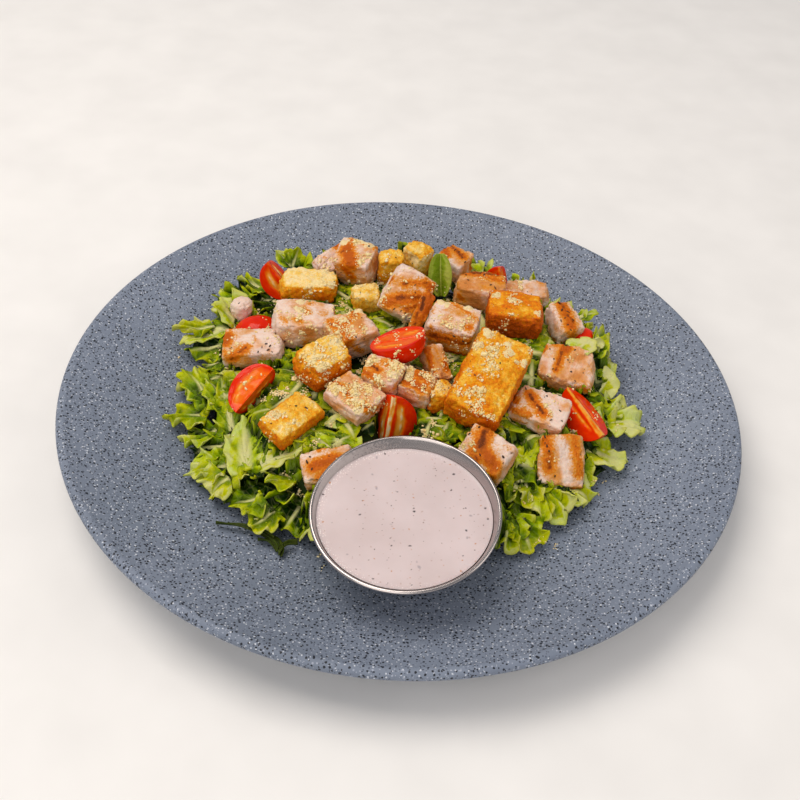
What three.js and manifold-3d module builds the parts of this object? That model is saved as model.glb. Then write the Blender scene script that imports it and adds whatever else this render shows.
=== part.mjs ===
// A caesar salad served on its coupe plate, with a steel cup of dressing standing at the front.
// Millimetres, +Z up, +Y away from the diner. The origin is the middle of the plate's foot, on the table.
import * as THREE from "three";
import { mergeVertices } from "three/addons/utils/BufferGeometryUtils.js";
import Module from "manifold-3d";

const wasm = await Module();
wasm.setup();

// ---------------------------------------------------------------- driving dimensions
const PLATE_RADIUS = 140;
const PLATE_HEIGHT = 24;
const FOOT_RADIUS = 70;
const WELL_LEVEL = 6.5; // upper surface at the middle of the plate
const GAP = 0.35; // clearance between touching pieces

const CUP_RADIUS = 34.3; // outside of the rolled rim
const CUP_BASE_RADIUS = 17.5;
const CUP_HEIGHT = 25;
const CUP_WALL = 0.7;
const CUP_PLACE = new THREE.Vector3(5.2, -78.5, 13.6); // middle of the base's underside
const CUP_LEAN = new THREE.Vector3(-0.04, -0.1, 1); // the cup's axis, leaning to the diner
const DRESSING_PLACE = new THREE.Vector3(3.4, -79.5, 36); // middle of the dressing's surface
const DRESSING_UP = new THREE.Vector3(-0.026, -0.058, 1); // thick dressing lies slightly aslant

const HEAP_MIDDLE = new THREE.Vector2(0, 5);
const HEAP_RADIUS_X = 94;
const HEAP_RADIUS_Y = 85;
const HEAP_REACH = [1.08, 1.1, 1.1, 1.04, 1.15, 1.17, 1.03, 1.06, 1.08, 1, 1.03, 1.02]; // every 30 degrees
const CORE_PART = 0.85; // how far the bare core reaches, as a part of the heap
const CORE_HEIGHT = 26; // of the bare core above the plate's well
const CORE_EDGE = 6; // thickness of the core at its edge
const LEAF_THICKNESS = 0.9;
const CHEESE_SIZE = 4; // of the largest crumb of parmesan

// ---------------------------------------------------------------- small helpers
const radians = THREE.MathUtils.degToRad;

/** A repeatable random source: a function that gives numbers from 0 to 1. */
function seeded(seed) {
  let state = seed >>> 0;
  return () => {
    state = (state + 0x6d2b79f5) >>> 0;
    let t = Math.imul(state ^ (state >>> 15), 1 | state);
    t = (t + Math.imul(t ^ (t >>> 7), 61 | t)) ^ t;
    return ((t ^ (t >>> 14)) >>> 0) / 4294967296;
  };
}

/** A closed geometry, placed by a matrix, as a solid that can be joined and cut. */
function solidOf(geometry, matrix = new THREE.Matrix4()) {
  const bare = new THREE.BufferGeometry();
  const flat = geometry.index ? geometry.toNonIndexed() : geometry.clone();
  bare.setAttribute("position", flat.getAttribute("position"));
  bare.applyMatrix4(matrix);
  const merged = mergeVertices(bare, 1e-3);
  return new wasm.Manifold(
    new wasm.Mesh({
      numProp: 3,
      vertProperties: merged.attributes.position.array,
      triVerts: new Uint32Array(merged.index.array),
    }),
  );
}

/** A solid's triangles as a geometry, brought back into the frame of a mesh placed by a matrix. */
function geometryOf(solid, matrix = new THREE.Matrix4()) {
  const { numProp, numVert, vertProperties, triVerts } = solid.getMesh();
  const positions = new Float32Array(numVert * 3);
  for (let i = 0; i < numVert; i++) {
    positions.set(vertProperties.subarray(i * numProp, i * numProp + 3), i * 3);
  }
  const geometry = new THREE.BufferGeometry();
  geometry.setAttribute("position", new THREE.BufferAttribute(positions, 3));
  geometry.setIndex(new THREE.BufferAttribute(new Uint32Array(triVerts), 1));
  geometry.applyMatrix4(matrix.clone().invert());
  geometry.computeVertexNormals();
  return geometry;
}

/** The largest body of a solid: loose scraps that a cut leaves are dropped. */
function largestBody(solid) {
  const bodies = solid.decompose();
  return bodies.reduce((a, b) => (a.volume() > b.volume() ? a : b));
}

function lathe(profile, segments) {
  const points = profile.map(([r, z]) => new THREE.Vector2(r, z));
  return new THREE.LatheGeometry(points, segments).rotateX(Math.PI / 2);
}

function finish(color, roughness, metalness = 0) {
  return new THREE.MeshStandardMaterial({ color, roughness, metalness });
}

const MATERIALS = {
  plate: finish(0x7c808d, 0.45),
  steel: finish(0xb9b4b2, 0.25, 1),
  dressing: finish(0xe3d0ca, 0.35),
  lettuce: finish(0x86a82c, 0.5),
  chicken: finish(0xdcb9a2, 0.55),
  crouton: finish(0xd8962c, 0.8),
  tomato: finish(0xdd3b16, 0.2),
  spinach: finish(0x5d8a1e, 0.45),
  herb: finish(0x3b4a17, 0.5),
};

const salad = new THREE.Group();

function addMesh(name, geometry, material, parent = salad) {
  const mesh = new THREE.Mesh(geometry, material);
  mesh.name = name;
  parent.add(mesh);
  return mesh;
}

// ---------------------------------------------------------------- the plate
// The upper surface of the coupe plate, from the middle of the well to the inside of the lip.
const PLATE_UPPER = [
  [0, WELL_LEVEL],
  [48, WELL_LEVEL + 0.2],
  [76, WELL_LEVEL + 1.6],
  [98, WELL_LEVEL + 5],
  [116, WELL_LEVEL + 9.6],
  [129, WELL_LEVEL + 14.2],
  [135.4, PLATE_HEIGHT - 0.8],
];
const PLATE_LIP = [
  [136.8, PLATE_HEIGHT],
  [138.3, PLATE_HEIGHT],
  [139.5, PLATE_HEIGHT - 0.7],
  [PLATE_RADIUS, PLATE_HEIGHT - 2],
  [139.5, PLATE_HEIGHT - 3.5],
  [137.6, PLATE_HEIGHT - 5],
];
const PLATE_UNDERSIDE = [
  [122, 13],
  [96, 4.6],
  [FOOT_RADIUS + 5, 2],
  [FOOT_RADIUS + 2, 0],
  [FOOT_RADIUS - 3, 0],
  [FOOT_RADIUS - 5, 1.8],
  [0, 1.8],
];

/** Height of the plate's upper surface at a distance from its middle. */
function plateLevel(radius) {
  for (let i = 1; i < PLATE_UPPER.length; i++) {
    const [r0, z0] = PLATE_UPPER[i - 1];
    const [r1, z1] = PLATE_UPPER[i];
    if (radius <= r1) return z0 + ((z1 - z0) * (radius - r0)) / (r1 - r0);
  }
  return PLATE_HEIGHT;
}

const PLATE_SEGMENTS = 48;
addMesh(
  "plate",
  lathe([...PLATE_UPPER, ...PLATE_LIP, ...PLATE_UNDERSIDE].reverse(), PLATE_SEGMENTS),
  MATERIALS.plate,
);

/** All that the plate's upper surface closes off, raised by the gap: what lies on the plate is cut by it. */
const plateUpperRaised = PLATE_UPPER.map(([r, z]) => [r, z + GAP]);
const belowPlate = [
  [PLATE_RADIUS, PLATE_HEIGHT],
  [PLATE_RADIUS, -5],
  [0, -5],
];
const underPlate = solidOf(lathe([...plateUpperRaised, ...belowPlate].reverse(), PLATE_SEGMENTS));

// ---------------------------------------------------------------- the sauce cup and its dressing
const CUP_OUTSIDE = [
  [0, 0],
  [CUP_BASE_RADIUS - 1.5, 0],
  [CUP_BASE_RADIUS + 0.6, 1],
  [24.5, 9.5],
  [30.2, 18.3],
  [CUP_RADIUS - 1.2, CUP_HEIGHT - 1.6],
  [CUP_RADIUS - 0.2, CUP_HEIGHT - 1.4],
  [CUP_RADIUS, CUP_HEIGHT - 0.6],
];
const CUP_INSIDE = [
  [CUP_RADIUS - 0.6, CUP_HEIGHT],
  [CUP_RADIUS - 1.6, CUP_HEIGHT - 0.3],
  [30.2 - CUP_WALL, 18.7],
  [24.5 - CUP_WALL, 10],
  [CUP_BASE_RADIUS - 0.2, 1.8],
  [CUP_BASE_RADIUS - 2, CUP_WALL],
  [0, CUP_WALL],
];
const CUP_SEGMENTS = 36;

const cupGroup = new THREE.Group();
cupGroup.position.copy(CUP_PLACE);
cupGroup.quaternion.setFromUnitVectors(new THREE.Vector3(0, 0, 1), CUP_LEAN.clone().normalize());
cupGroup.updateMatrixWorld(true);
salad.add(cupGroup);
addMesh("sauce_cup", lathe([...CUP_OUTSIDE, ...CUP_INSIDE], CUP_SEGMENTS), MATERIALS.steel, cupGroup);

/** The cup with its inside filled, grown by the gap: what stands round it is cut by it. */
const FILLED_CUP_SEGMENTS = 20;
const grownCup = CUP_RADIUS * (1 / Math.cos(Math.PI / FILLED_CUP_SEGMENTS) - 1) + GAP;
const filledCup = solidOf(
  lathe(
    [
      [0, -GAP],
      [CUP_BASE_RADIUS + grownCup, -GAP],
      [24.5 + grownCup, 9],
      [CUP_RADIUS + grownCup, CUP_HEIGHT - 2],
      [CUP_RADIUS + grownCup, CUP_HEIGHT + GAP],
      [0, CUP_HEIGHT + GAP],
    ],
    FILLED_CUP_SEGMENTS,
  ),
  cupGroup.matrixWorld,
);

function makeDressing() {
  const inside = [...CUP_INSIDE].reverse().slice(1, -1);
  const filling = inside.map(([r, z]) => [r - GAP, z]);
  const bottom = [
    [0, CUP_WALL + GAP],
    [filling[0][0], CUP_WALL + GAP],
  ];
  const profile = [...bottom, ...filling.slice(1), [0, CUP_HEIGHT]];
  const body = solidOf(lathe(profile, CUP_SEGMENTS), cupGroup.matrixWorld);
  const upright = new THREE.Vector3(0, 0, 1);
  const aslant = new THREE.Quaternion().setFromUnitVectors(upright, DRESSING_UP.clone().normalize());
  const place = new THREE.Matrix4().compose(DRESSING_PLACE, aslant, new THREE.Vector3(1, 1, 1));
  const above = new THREE.BoxGeometry(100, 100, 40).translate(0, 0, 20);
  return body.subtract(solidOf(above, place));
}
addMesh("dressing", geometryOf(makeDressing(), cupGroup.matrixWorld), MATERIALS.dressing, cupGroup);

// ---------------------------------------------------------------- toppings
/**
 * A cut cube of food: a box with eased edges and uneven faces. A high squareness keeps the corners.
 * bend arches the piece along its length, and grow adds that much on every side.
 */
function block({ size, cells = [3, 3, 2], squareness = 7, uneven = 0.06, bend = 0, seed = 1 }, grow = 0) {
  const random = seeded(seed);
  const phases = Array.from({ length: 9 }, () => random() * Math.PI * 2);
  const taper = (random() - 0.5) * 0.16;
  const geometry = new THREE.BoxGeometry(2, 2, 2, ...cells);
  const position = geometry.getAttribute("position");
  const p = new THREE.Vector3();
  for (let i = 0; i < position.count; i++) {
    p.fromBufferAttribute(position, i);
    const norm = Math.pow(
      Math.abs(p.x) ** squareness + Math.abs(p.y) ** squareness + Math.abs(p.z) ** squareness,
      1 / squareness,
    );
    p.divideScalar(norm);
    const swell = 1 + uneven * Math.sin(2.1 * p.x + phases[0]) * Math.sin(2.3 * p.y + phases[1]);
    const wave = uneven * Math.sin(2.9 * p.z + 1.7 * p.x + phases[2]);
    const x = p.x * (1 + wave) * (1 + taper * p.y);
    const y = p.y * (1 + uneven * Math.sin(2.5 * p.x + phases[3]));
    const z = p.z * swell - bend * p.x * p.x;
    position.setXYZ(i, x * (size[0] / 2 + grow), y * (size[1] / 2 + grow), z * (size[2] / 2 + grow));
  }
  return geometry;
}

/**
 * A cherry tomato cut along its length, which lies along x. The flat cut looks along +z, and a quarter
 * has a second cut that looks along -y.
 */
function tomatoPiece({ length, radius, quarter }, grow = 0) {
  const whole = new THREE.SphereGeometry(1, 12, 8).rotateZ(-Math.PI / 2);
  whole.scale(length / 2 + grow, radius + grow, radius + grow);
  const reach = 2 * length;
  const above = new THREE.BoxGeometry(reach, reach, reach).translate(0, 0, reach / 2 + grow);
  let piece = solidOf(whole).subtract(solidOf(above));
  if (quarter) {
    const before = new THREE.BoxGeometry(reach, reach, reach).translate(0, -reach / 2 - grow, 0);
    piece = piece.subtract(solidOf(before));
  }
  return geometryOf(piece);
}

/** The turn that points a piece's z along up, and its x as nearly along as that allows. */
function facing(up, along) {
  const z = new THREE.Vector3(...up).normalize();
  const x = new THREE.Vector3(...along);
  x.addScaledVector(z, -x.dot(z)).normalize();
  const y = new THREE.Vector3().crossVectors(z, x);
  return new THREE.Quaternion().setFromRotationMatrix(new THREE.Matrix4().makeBasis(x, y, z));
}

/** A level direction, turned from +x towards +y. */
function heading(degrees) {
  return [Math.cos(radians(degrees)), Math.sin(radians(degrees)), 0];
}

// Each piece: where its middle is, its size along its length, across and through, the way its browned or
// cut face looks, and the heading of its length, or the direction it runs along where that isn't level.
// cheese is how many crumbs of parmesan lie on it. A tomato lies by the middle of its cut edge or face.
const CHICKEN = [
  { at: [-63.8, 10.6, 29], size: [25.5, 16, 10.5], up: [0, -0.15, 1], turn: 7 },
  { at: [-43.8, 24, 33.4], size: [26.5, 18, 13.5], up: [0, -0.05, 1], turn: 3, cheese: 3 },
  { at: [-73.5, 41.9, 25.2], size: [10.5, 9, 10], up: [0, 0, 1], turn: 60, squareness: 2.6 },
  { at: [-23.4, 14.2, 37], size: [20, 17, 14], up: [0, -0.1, 1], turn: 33, cheese: 2 },
  { at: [-36.2, 69.4, 34.5], size: [18, 9.5, 7], up: [0.3, -0.55, 0.8], turn: 50 },
  { at: [-24.4, 64.0, 38], size: [18, 16, 18], up: [-0.1, -0.3, 1], turn: -18, cheese: 4 },
  { at: [-0.6, 38.9, 42], size: [19, 22, 10], up: [0, -0.75, 0.7], along: [0.9, -0.3, -0.3], bend: 0.3 },
  { at: [19.1, 21.8, 39], size: [22, 18, 15], up: [0, -0.12, 1], turn: -14, cheese: 3 },
  { at: [19.4, 71.6, 35], size: [14, 13.5, 15], up: [0, -0.1, 1], turn: -35 },
  { at: [31.4, 51.8, 35], size: [22, 14, 16], up: [0, -0.05, 1], turn: -5 },
  { at: [52.8, 62.3, 27.5], size: [21, 12, 11], up: [0, 0, 1], turn: 2 },
  { at: [68.4, 39.8, 31], size: [18, 11.5, 12.5], up: [0.15, -0.15, 1], turn: -66 },
  { at: [67.7, 9.8, 31], size: [23, 19, 10.5], up: [0.05, -0.3, 1], turn: -10 },
  { at: [55.6, -17, 31], size: [23, 16, 9.5], up: [0, -0.25, 1], turn: -21 },
  { at: [34.1, -43.2, 30], size: [20, 17, 13], up: [-0.1, -0.45, 1], turn: -32 },
  { at: [63.9, -36.4, 23.2], size: [18.5, 21, 9], up: [0.05, -0.7, 0.8], turn: 0 },
  { at: [-26, -51.8, 26.3], size: [21, 13, 10.5], up: [-0.1, -0.4, 1], turn: 16 },
  { at: [-18.7, -22.6, 36], size: [21, 17, 8], up: [0, -0.1, 1], turn: -38, cheese: 4 },
  { at: [-8.1, -12.3, 40], size: [16, 13, 9], up: [-0.1, -0.2, 1], turn: -22, cheese: 3 },
  { at: [5.1, -13.5, 36], size: [15, 13, 10], up: [0.1, -0.2, 1], turn: -16, cheese: 2 },
  { at: [12.9, 0.3, 36], size: [18, 9, 9], up: [0.3, -0.2, 1], turn: -66 },
  { at: [6.1, 28.2, 42], size: [18, 6, 5], up: [0.2, -0.7, 0.7], along: [-0.35, -0.64, -0.69], bend: 0.6 },
];
const CROUTONS = [
  { at: [-44.5, 50.2, 34], size: [25.5, 15, 11], up: [0, -0.05, 1], turn: 2, cheese: 2 },
  { at: [-32.3, -5.8, 38.3], size: [20.5, 17.5, 14.5], up: [0, -0.1, 1], turn: 42, cheese: 4 },
  { at: [-42.1, -35.6, 34], size: [25, 15.5, 9.5], up: [0.1, -0.15, 1], turn: 52, cheese: 1 },
  { at: [33.6, -13, 41.5], size: [40, 24, 15], up: [0.12, -0.42, 1], turn: 72, cheese: 6, squareness: 9 },
  { at: [46, 36.5, 36.7], size: [24.5, 18, 14.5], up: [0, -0.05, 1], turn: -3, cheese: 3, squareness: 8 },
  { at: [-9.1, 64.0, 36], size: [12, 10, 19], up: [0, -0.1, 1], turn: 10 },
  { at: [2.3, 72.5, 36], size: [12, 12, 16], up: [0.15, 0, 1], turn: -38 },
  { at: [14.9, -15.2, 33], size: [12, 10, 11], up: [0, 0, 1], turn: 20 },
  { at: [-18.9, 44.0, 34], size: [13, 11, 11], up: [0, -0.1, 1], turn: 12 },
];
const TOMATOES = [
  { at: [-57.6, 55, 33], length: 20, radius: 9.5, up: [-0.04, -0.96, 0.28], along: [-0.63, 0.24, 0.74] },
  { at: [-65, 31.4, 18.5], length: 21, radius: 9.5, quarter: false, up: [0, 0.2, -1], along: [1, 0.1, 0] },
  { at: [-58.6, -19.3, 33], length: 23, radius: 10.5, up: [-0.21, -0.51, 0.84], along: [0.58, 0.62, 0.52] },
  { at: [-3.4, 2.5, 47], length: 23, radius: 10.5, quarter: false, up: [-0.35, 0.25, 0.9], along: [1, -0.1, 0.3] },
  { at: [-4.5, -31.4, 30], length: 25, radius: 12.5, up: [-0.89, -0.38, 0.24], along: [0.1, 0.35, 0.93] },
  { at: [73.6, -15.7, 32], length: 26, radius: 10.5, up: [0.54, 0.17, 0.82], along: [0.5, -0.85, -0.15] },
  { at: [40.7, 58.4, 33], length: 22, radius: 9, up: [-0.39, -0.89, 0.23], along: [-0.1, 0.29, 0.95] },
  { at: [77, 35.5, 26], length: 13, radius: 5.5, quarter: false, up: [0, 0.2, -1], along: [0.5, 1, 0] },
];

/** A topping's geometry: a block of chicken or crouton, or a piece of tomato. */
function toppingGeometry(spec, grow = 0) {
  return spec.size ? block(spec, grow) : tomatoPiece(spec, grow);
}

// Every topping, with its solid, its grown copy and its plain hollow in the heap, in the salad's frame.
const toppings = [];

function addToppings(kind, specs, material, shared) {
  specs.forEach((own, index) => {
    const spec = { ...shared, seed: 11 * toppings.length + 5, ...own };
    const name = `${kind}_${String(index + 1).padStart(2, "0")}`;
    const mesh = addMesh(name, toppingGeometry(spec), material);
    mesh.position.set(...spec.at);
    mesh.quaternion.copy(facing(spec.up, spec.along ?? heading(spec.turn)));
    mesh.updateMatrixWorld(true);
    const grown = solidOf(toppingGeometry(spec, GAP), mesh.matrixWorld);
    const hollow = spec.size ? boxRound(mesh) : grown;
    toppings.push({ mesh, spec, solid: solidOf(mesh.geometry, mesh.matrixWorld), grown, hollow });
  });
}

/** The plain box that a block lies in, grown by the gap. */
function boxRound(mesh) {
  mesh.geometry.computeBoundingBox();
  const size = mesh.geometry.boundingBox.getSize(new THREE.Vector3()).addScalar(2 * GAP);
  const middle = mesh.geometry.boundingBox.getCenter(new THREE.Vector3());
  return solidOf(new THREE.BoxGeometry(...size).translate(...middle), mesh.matrixWorld);
}

/** Where two toppings meet, the lower one is cut back round the higher one; all are cut round the cup. */
function settleToppings() {
  const fromTop = [...toppings].sort((a, b) => b.spec.at[2] - a.spec.at[2]);
  fromTop.forEach((lower, index) => {
    const above = fromTop.slice(0, index).filter((upper) => upper.grown.intersect(lower.solid).volume() > 0);
    const settled = wasm.Manifold.union([filledCup, ...above.map((upper) => upper.grown)]);
    if (settled.intersect(lower.solid).volume() > 0) {
      lower.solid = largestBody(lower.solid.subtract(settled));
    }
  });
}

/** Crumbs of grated parmesan, each a squashed many-sided lump, fused to the upward faces of a topping. */
function addCheese(topping, count) {
  const random = seeded(topping.spec.seed + 900);
  const others = toppings.filter((other) => other !== topping).map((other) => other.grown);
  const obstacles = wasm.Manifold.union([filledCup, ...others]);
  const place = topping.mesh.matrixWorld;
  const position = topping.mesh.geometry.getAttribute("position");
  const index = topping.mesh.geometry.index;
  const corner = (k) => new THREE.Vector3().fromBufferAttribute(position, index.getX(k)).applyMatrix4(place);
  const faces = [];
  for (let k = 0; k < index.count; k += 3) {
    const face = new THREE.Triangle(corner(k), corner(k + 1), corner(k + 2));
    if (face.getNormal(new THREE.Vector3()).z > 0.7) faces.push(face);
  }
  for (let left = count, attempt = 0; left > 0 && attempt < 8 * count; attempt++) {
    const face = faces[Math.floor(random() * faces.length)];
    const size = CHEESE_SIZE * (1 - 0.45 * ((count - left) / count));
    const normal = face.getNormal(new THREE.Vector3());
    const at = face.getMidpoint(new THREE.Vector3()).lerp(random() < 0.5 ? face.a : face.c, 0.5 * random());
    const turn = new THREE.Quaternion().setFromUnitVectors(new THREE.Vector3(0, 0, 1), normal);
    turn.multiply(new THREE.Quaternion().setFromAxisAngle(new THREE.Vector3(0, 0, 1), 6.28 * random()));
    const form = new THREE.Vector3(size / 2, (size / 2) * (0.6 + 0.3 * random()), size * 0.33);
    const crumb = solidOf(new THREE.IcosahedronGeometry(1, 0), new THREE.Matrix4().compose(at, turn, form));
    if (crumb.intersect(obstacles).volume() === 0 && crumb.intersect(topping.solid).volume() > 0) {
      topping.solid = topping.solid.add(crumb);
      left -= 1;
    }
  }
}

addToppings("chicken", CHICKEN, MATERIALS.chicken, { cells: [3, 3, 2], squareness: 8, uneven: 0.06 });
addToppings("crouton", CROUTONS, MATERIALS.crouton, { cells: [3, 3, 2], squareness: 6, uneven: 0.05 });
addToppings("tomato", TOMATOES, MATERIALS.tomato, { quarter: true });
settleToppings();
for (const topping of toppings) {
  if (topping.spec.cheese) addCheese(topping, topping.spec.cheese);
  topping.mesh.geometry = geometryOf(topping.solid, topping.mesh.matrixWorld);
}

// ---------------------------------------------------------------- leaves
/**
 * A thin wavy leaf of even thickness. shape gives a point of its middle surface for u from 0 to 1 along
 * the leaf and v from -1 to 1 across it. Both faces are split into the same triangles.
 */
function sheet(shape, nu, nv, thickness) {
  const face = new THREE.PlaneGeometry(1, 1, nu, nv);
  const middle = face.getAttribute("position");
  for (let i = 0; i < middle.count; i++) {
    middle.setXYZ(i, ...shape(middle.getX(i) + 0.5, middle.getY(i) * 2));
  }
  face.computeVertexNormals();
  const normal = face.getAttribute("normal");
  const count = middle.count;
  const positions = new Float32Array(count * 6);
  for (let i = 0; i < count; i++) {
    for (const [side, start] of [[0.5, 0], [-0.5, count]]) {
      positions[3 * (start + i)] = middle.getX(i) + side * thickness * normal.getX(i);
      positions[3 * (start + i) + 1] = middle.getY(i) + side * thickness * normal.getY(i);
      positions[3 * (start + i) + 2] = middle.getZ(i) + side * thickness * normal.getZ(i);
    }
  }
  const front = Array.from(face.index.array);
  const triangles = [...front];
  for (let i = 0; i < front.length; i += 3) {
    triangles.push(front[i] + count, front[i + 2] + count, front[i + 1] + count);
  }
  const row = nu + 1;
  const border = [];
  for (let j = 0; j < nv; j++) border.push(j * row);
  for (let i = 0; i < nu; i++) border.push(nv * row + i);
  for (let j = nv; j > 0; j--) border.push(j * row + nu);
  for (let i = nu; i > 0; i--) border.push(i);
  border.forEach((a, k) => {
    const b = border[(k + 1) % border.length];
    triangles.push(b, a, a + count, b, a + count, b + count);
  });
  const geometry = new THREE.BufferGeometry();
  geometry.setAttribute("position", new THREE.BufferAttribute(positions, 3));
  geometry.setIndex(triangles);
  geometry.computeVertexNormals();
  return geometry;
}

/** A torn fragment of frilly lettuce: flat at its rib, ruffled at both edges, and drooping to its tip. */
function frill({ length, width, ruffle, droop, fold, phase }) {
  const shape = (u, v) => {
    const half = (width / 2) * (0.62 + 0.38 * Math.sin(Math.PI * (0.1 + 0.85 * u)));
    const edge = v * v;
    const wave = ruffle * edge * Math.sin(11 * u + phase + 1.4 * Math.sign(v));
    const x = length * (u - 0.5) + 0.06 * width * Math.sin(9 * v + phase);
    return [x, v * half * (1 + 0.12 * Math.sin(8 * u + phase)), wave + fold * half * edge - droop * length * u * u];
  };
  return sheet(shape, 3, 2, LEAF_THICKNESS);
}

// ---------------------------------------------------------------- the heap of lettuce
/** How far out the heap reaches in a direction, as a part of its nominal radius. */
function heapReach(angle) {
  const turn = ((angle / (2 * Math.PI) + 1) % 1) * HEAP_REACH.length;
  const from = Math.floor(turn) % HEAP_REACH.length;
  const to = (from + 1) % HEAP_REACH.length;
  const even = THREE.MathUtils.lerp(HEAP_REACH[from], HEAP_REACH[to], turn % 1);
  return even + 0.025 * Math.sin(7 * angle + 0.6);
}

/** The bare core: a low uneven dome that stands just clear of the plate. */
function makeCore() {
  const rings = [0, 0.3, 0.6, 0.85, 1];
  const thickness = (angle, part) => {
    const dome = Math.sqrt(Math.max(0, 1 - part ** 2.4));
    return CORE_EDGE + (CORE_HEIGHT - CORE_EDGE) * dome + 1.3 * Math.sin(5 * angle + 9 * part) * part;
  };
  const profile = [...rings.map((part) => [part, 1]), [1.03, 0.4], ...rings.toReversed().map((part) => [part * 0.97, 0])];
  const geometry = lathe(profile.reverse(), 22);
  const position = geometry.getAttribute("position");
  for (let i = 0; i < position.count; i++) {
    const part = Math.hypot(position.getX(i), position.getY(i));
    const angle = Math.atan2(position.getY(i), position.getX(i));
    const reach = CORE_PART * heapReach(angle);
    const x = HEAP_MIDDLE.x + position.getX(i) * HEAP_RADIUS_X * reach;
    const y = HEAP_MIDDLE.y + position.getY(i) * HEAP_RADIUS_Y * reach;
    const floor = plateLevel(Math.hypot(x, y)) + GAP;
    position.setXYZ(i, x, y, floor + position.getZ(i) * thickness(angle, Math.min(part, 1)));
  }
  return solidOf(geometry);
}

// The rings of leaves, from the edge of the heap inwards: how many, how far out their middle is, how
// high it lies over the plate, the downward pitch to their tip in degrees, and their largest length.
const LEAF_RINGS = [
  { count: 27, part: 0.9, level: 3, pitch: 10, length: 28 },
  { count: 24, part: 0.87, level: 8, pitch: 15, length: 26 },
  { count: 18, part: 0.76, level: 15, pitch: 5, length: 25 },
  { count: 12, part: 0.6, level: 20, pitch: -10, length: 22 },
  { count: 7, part: 0.35, level: 24, pitch: -10, length: 18 },
];

/** A leaf as a solid at a place on the heap, lifted clear of the plate. */
function placeLeaf(leaf, turn, x, y, level) {
  const place = new THREE.Matrix4().makeRotationFromEuler(turn).setPosition(x, y, level);
  const placed = leaf.clone().applyMatrix4(place).getAttribute("position");
  let lift = 0;
  for (let i = 0; i < placed.count; i++) {
    const floor = plateLevel(Math.hypot(placed.getX(i), placed.getY(i))) + GAP + 0.2;
    lift = Math.max(lift, floor - placed.getZ(i));
  }
  place.setPosition(x, y, level + lift);
  return solidOf(leaf, place);
}

function makeHeap() {
  const random = seeded(2024);
  const between = (low, high) => low + (high - low) * random();
  const obstacles = wasm.Manifold.union([filledCup, underPlate, ...toppings.map((t) => t.grown)]);
  const hollows = wasm.Manifold.union([filledCup, ...toppings.map((t) => t.hollow)]);
  const core = makeCore().subtract(hollows);
  const leaves = [];
  for (const ring of LEAF_RINGS) {
    for (let k = 0; k < ring.count; k++) {
      const angle = ((k + between(0.1, 0.9)) / ring.count) * 2 * Math.PI;
      for (let attempt = 0; attempt < 20; attempt++) {
        const length = ring.length * between(0.8, 1) * (1 - 0.025 * attempt);
        const leaf = frill({
          length,
          width: length * between(0.6, 0.95),
          ruffle: between(1.6, 3.4),
          droop: between(0.05, 0.25),
          fold: between(-0.25, 0.35),
          phase: between(0, 6.28),
        });
        const turned = angle + between(-0.15, 0.15);
        const part = (ring.part + between(-0.05, 0.05)) * heapReach(turned);
        const x = HEAP_MIDDLE.x + Math.cos(turned) * HEAP_RADIUS_X * part;
        const y = HEAP_MIDDLE.y + Math.sin(turned) * HEAP_RADIUS_Y * part;
        const level = plateLevel(Math.hypot(x, y)) + ring.level + between(-2, 3);
        const pitch = radians(ring.pitch + between(-18, 18));
        const turn = new THREE.Euler(radians(between(-30, 30)), pitch, turned + between(-0.8, 0.8), "ZYX");
        const solid = placeLeaf(leaf, turn, x, y, level);
        const rooted = solid.intersect(core).volume() > 0.5;
        const crosses = [obstacles, ...leaves].some((other) => solid.intersect(other).volume() > 0);
        if (rooted && !crosses) {
          leaves.push(solid);
          break;
        }
      }
    }
  }
  return largestBody(wasm.Manifold.union([core, ...leaves]));
}
addMesh("lettuce", geometryOf(makeHeap()), MATERIALS.lettuce);

// ---------------------------------------------------------------- loose leaves
/** A pointed smooth leaf that stands between the toppings. */
function spinachLeaf() {
  const shape = (u, v) => {
    const half = 5.2 * Math.sqrt(Math.sin(Math.PI * (0.06 + 0.9 * u)));
    return [19 * (u - 0.5), v * half, 1.8 * v * v + 1.2 * Math.sin(3 * u)];
  };
  return sheet(shape, 6, 2, LEAF_THICKNESS);
}
const spinach = addMesh("spinach_leaf", spinachLeaf(), MATERIALS.spinach);
spinach.position.set(13.5, 57.3, 40);
spinach.quaternion.copy(facing([-0.15, -0.85, 0.5], [-0.1, 0.5, 0.86]));

/** A long dark blade that has dropped on the bare plate in front of the heap. */
function herbLeaf() {
  const shape = (u, v) => {
    const half = 2.2 * Math.sqrt(Math.sin(Math.PI * (0.08 + 0.85 * u)));
    return [34 * (u - 0.5), v * half - 3 * Math.sin(3.4 * u), 1.1 + 0.9 * Math.sin(7 * u) * (0.4 + v * v)];
  };
  return sheet(shape, 8, 2, LEAF_THICKNESS);
}
const herb = addMesh("herb_leaf", herbLeaf(), MATERIALS.herb);
herb.position.set(-52, -79, plateLevel(94) + 1.5);
herb.quaternion.copy(facing([0.08, 0.14, 1], heading(-19)));

export default salad;
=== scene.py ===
import math

import bpy
import numpy as np
from mathutils import Matrix, Vector
from mathutils.bvhtree import BVHTree


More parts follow.
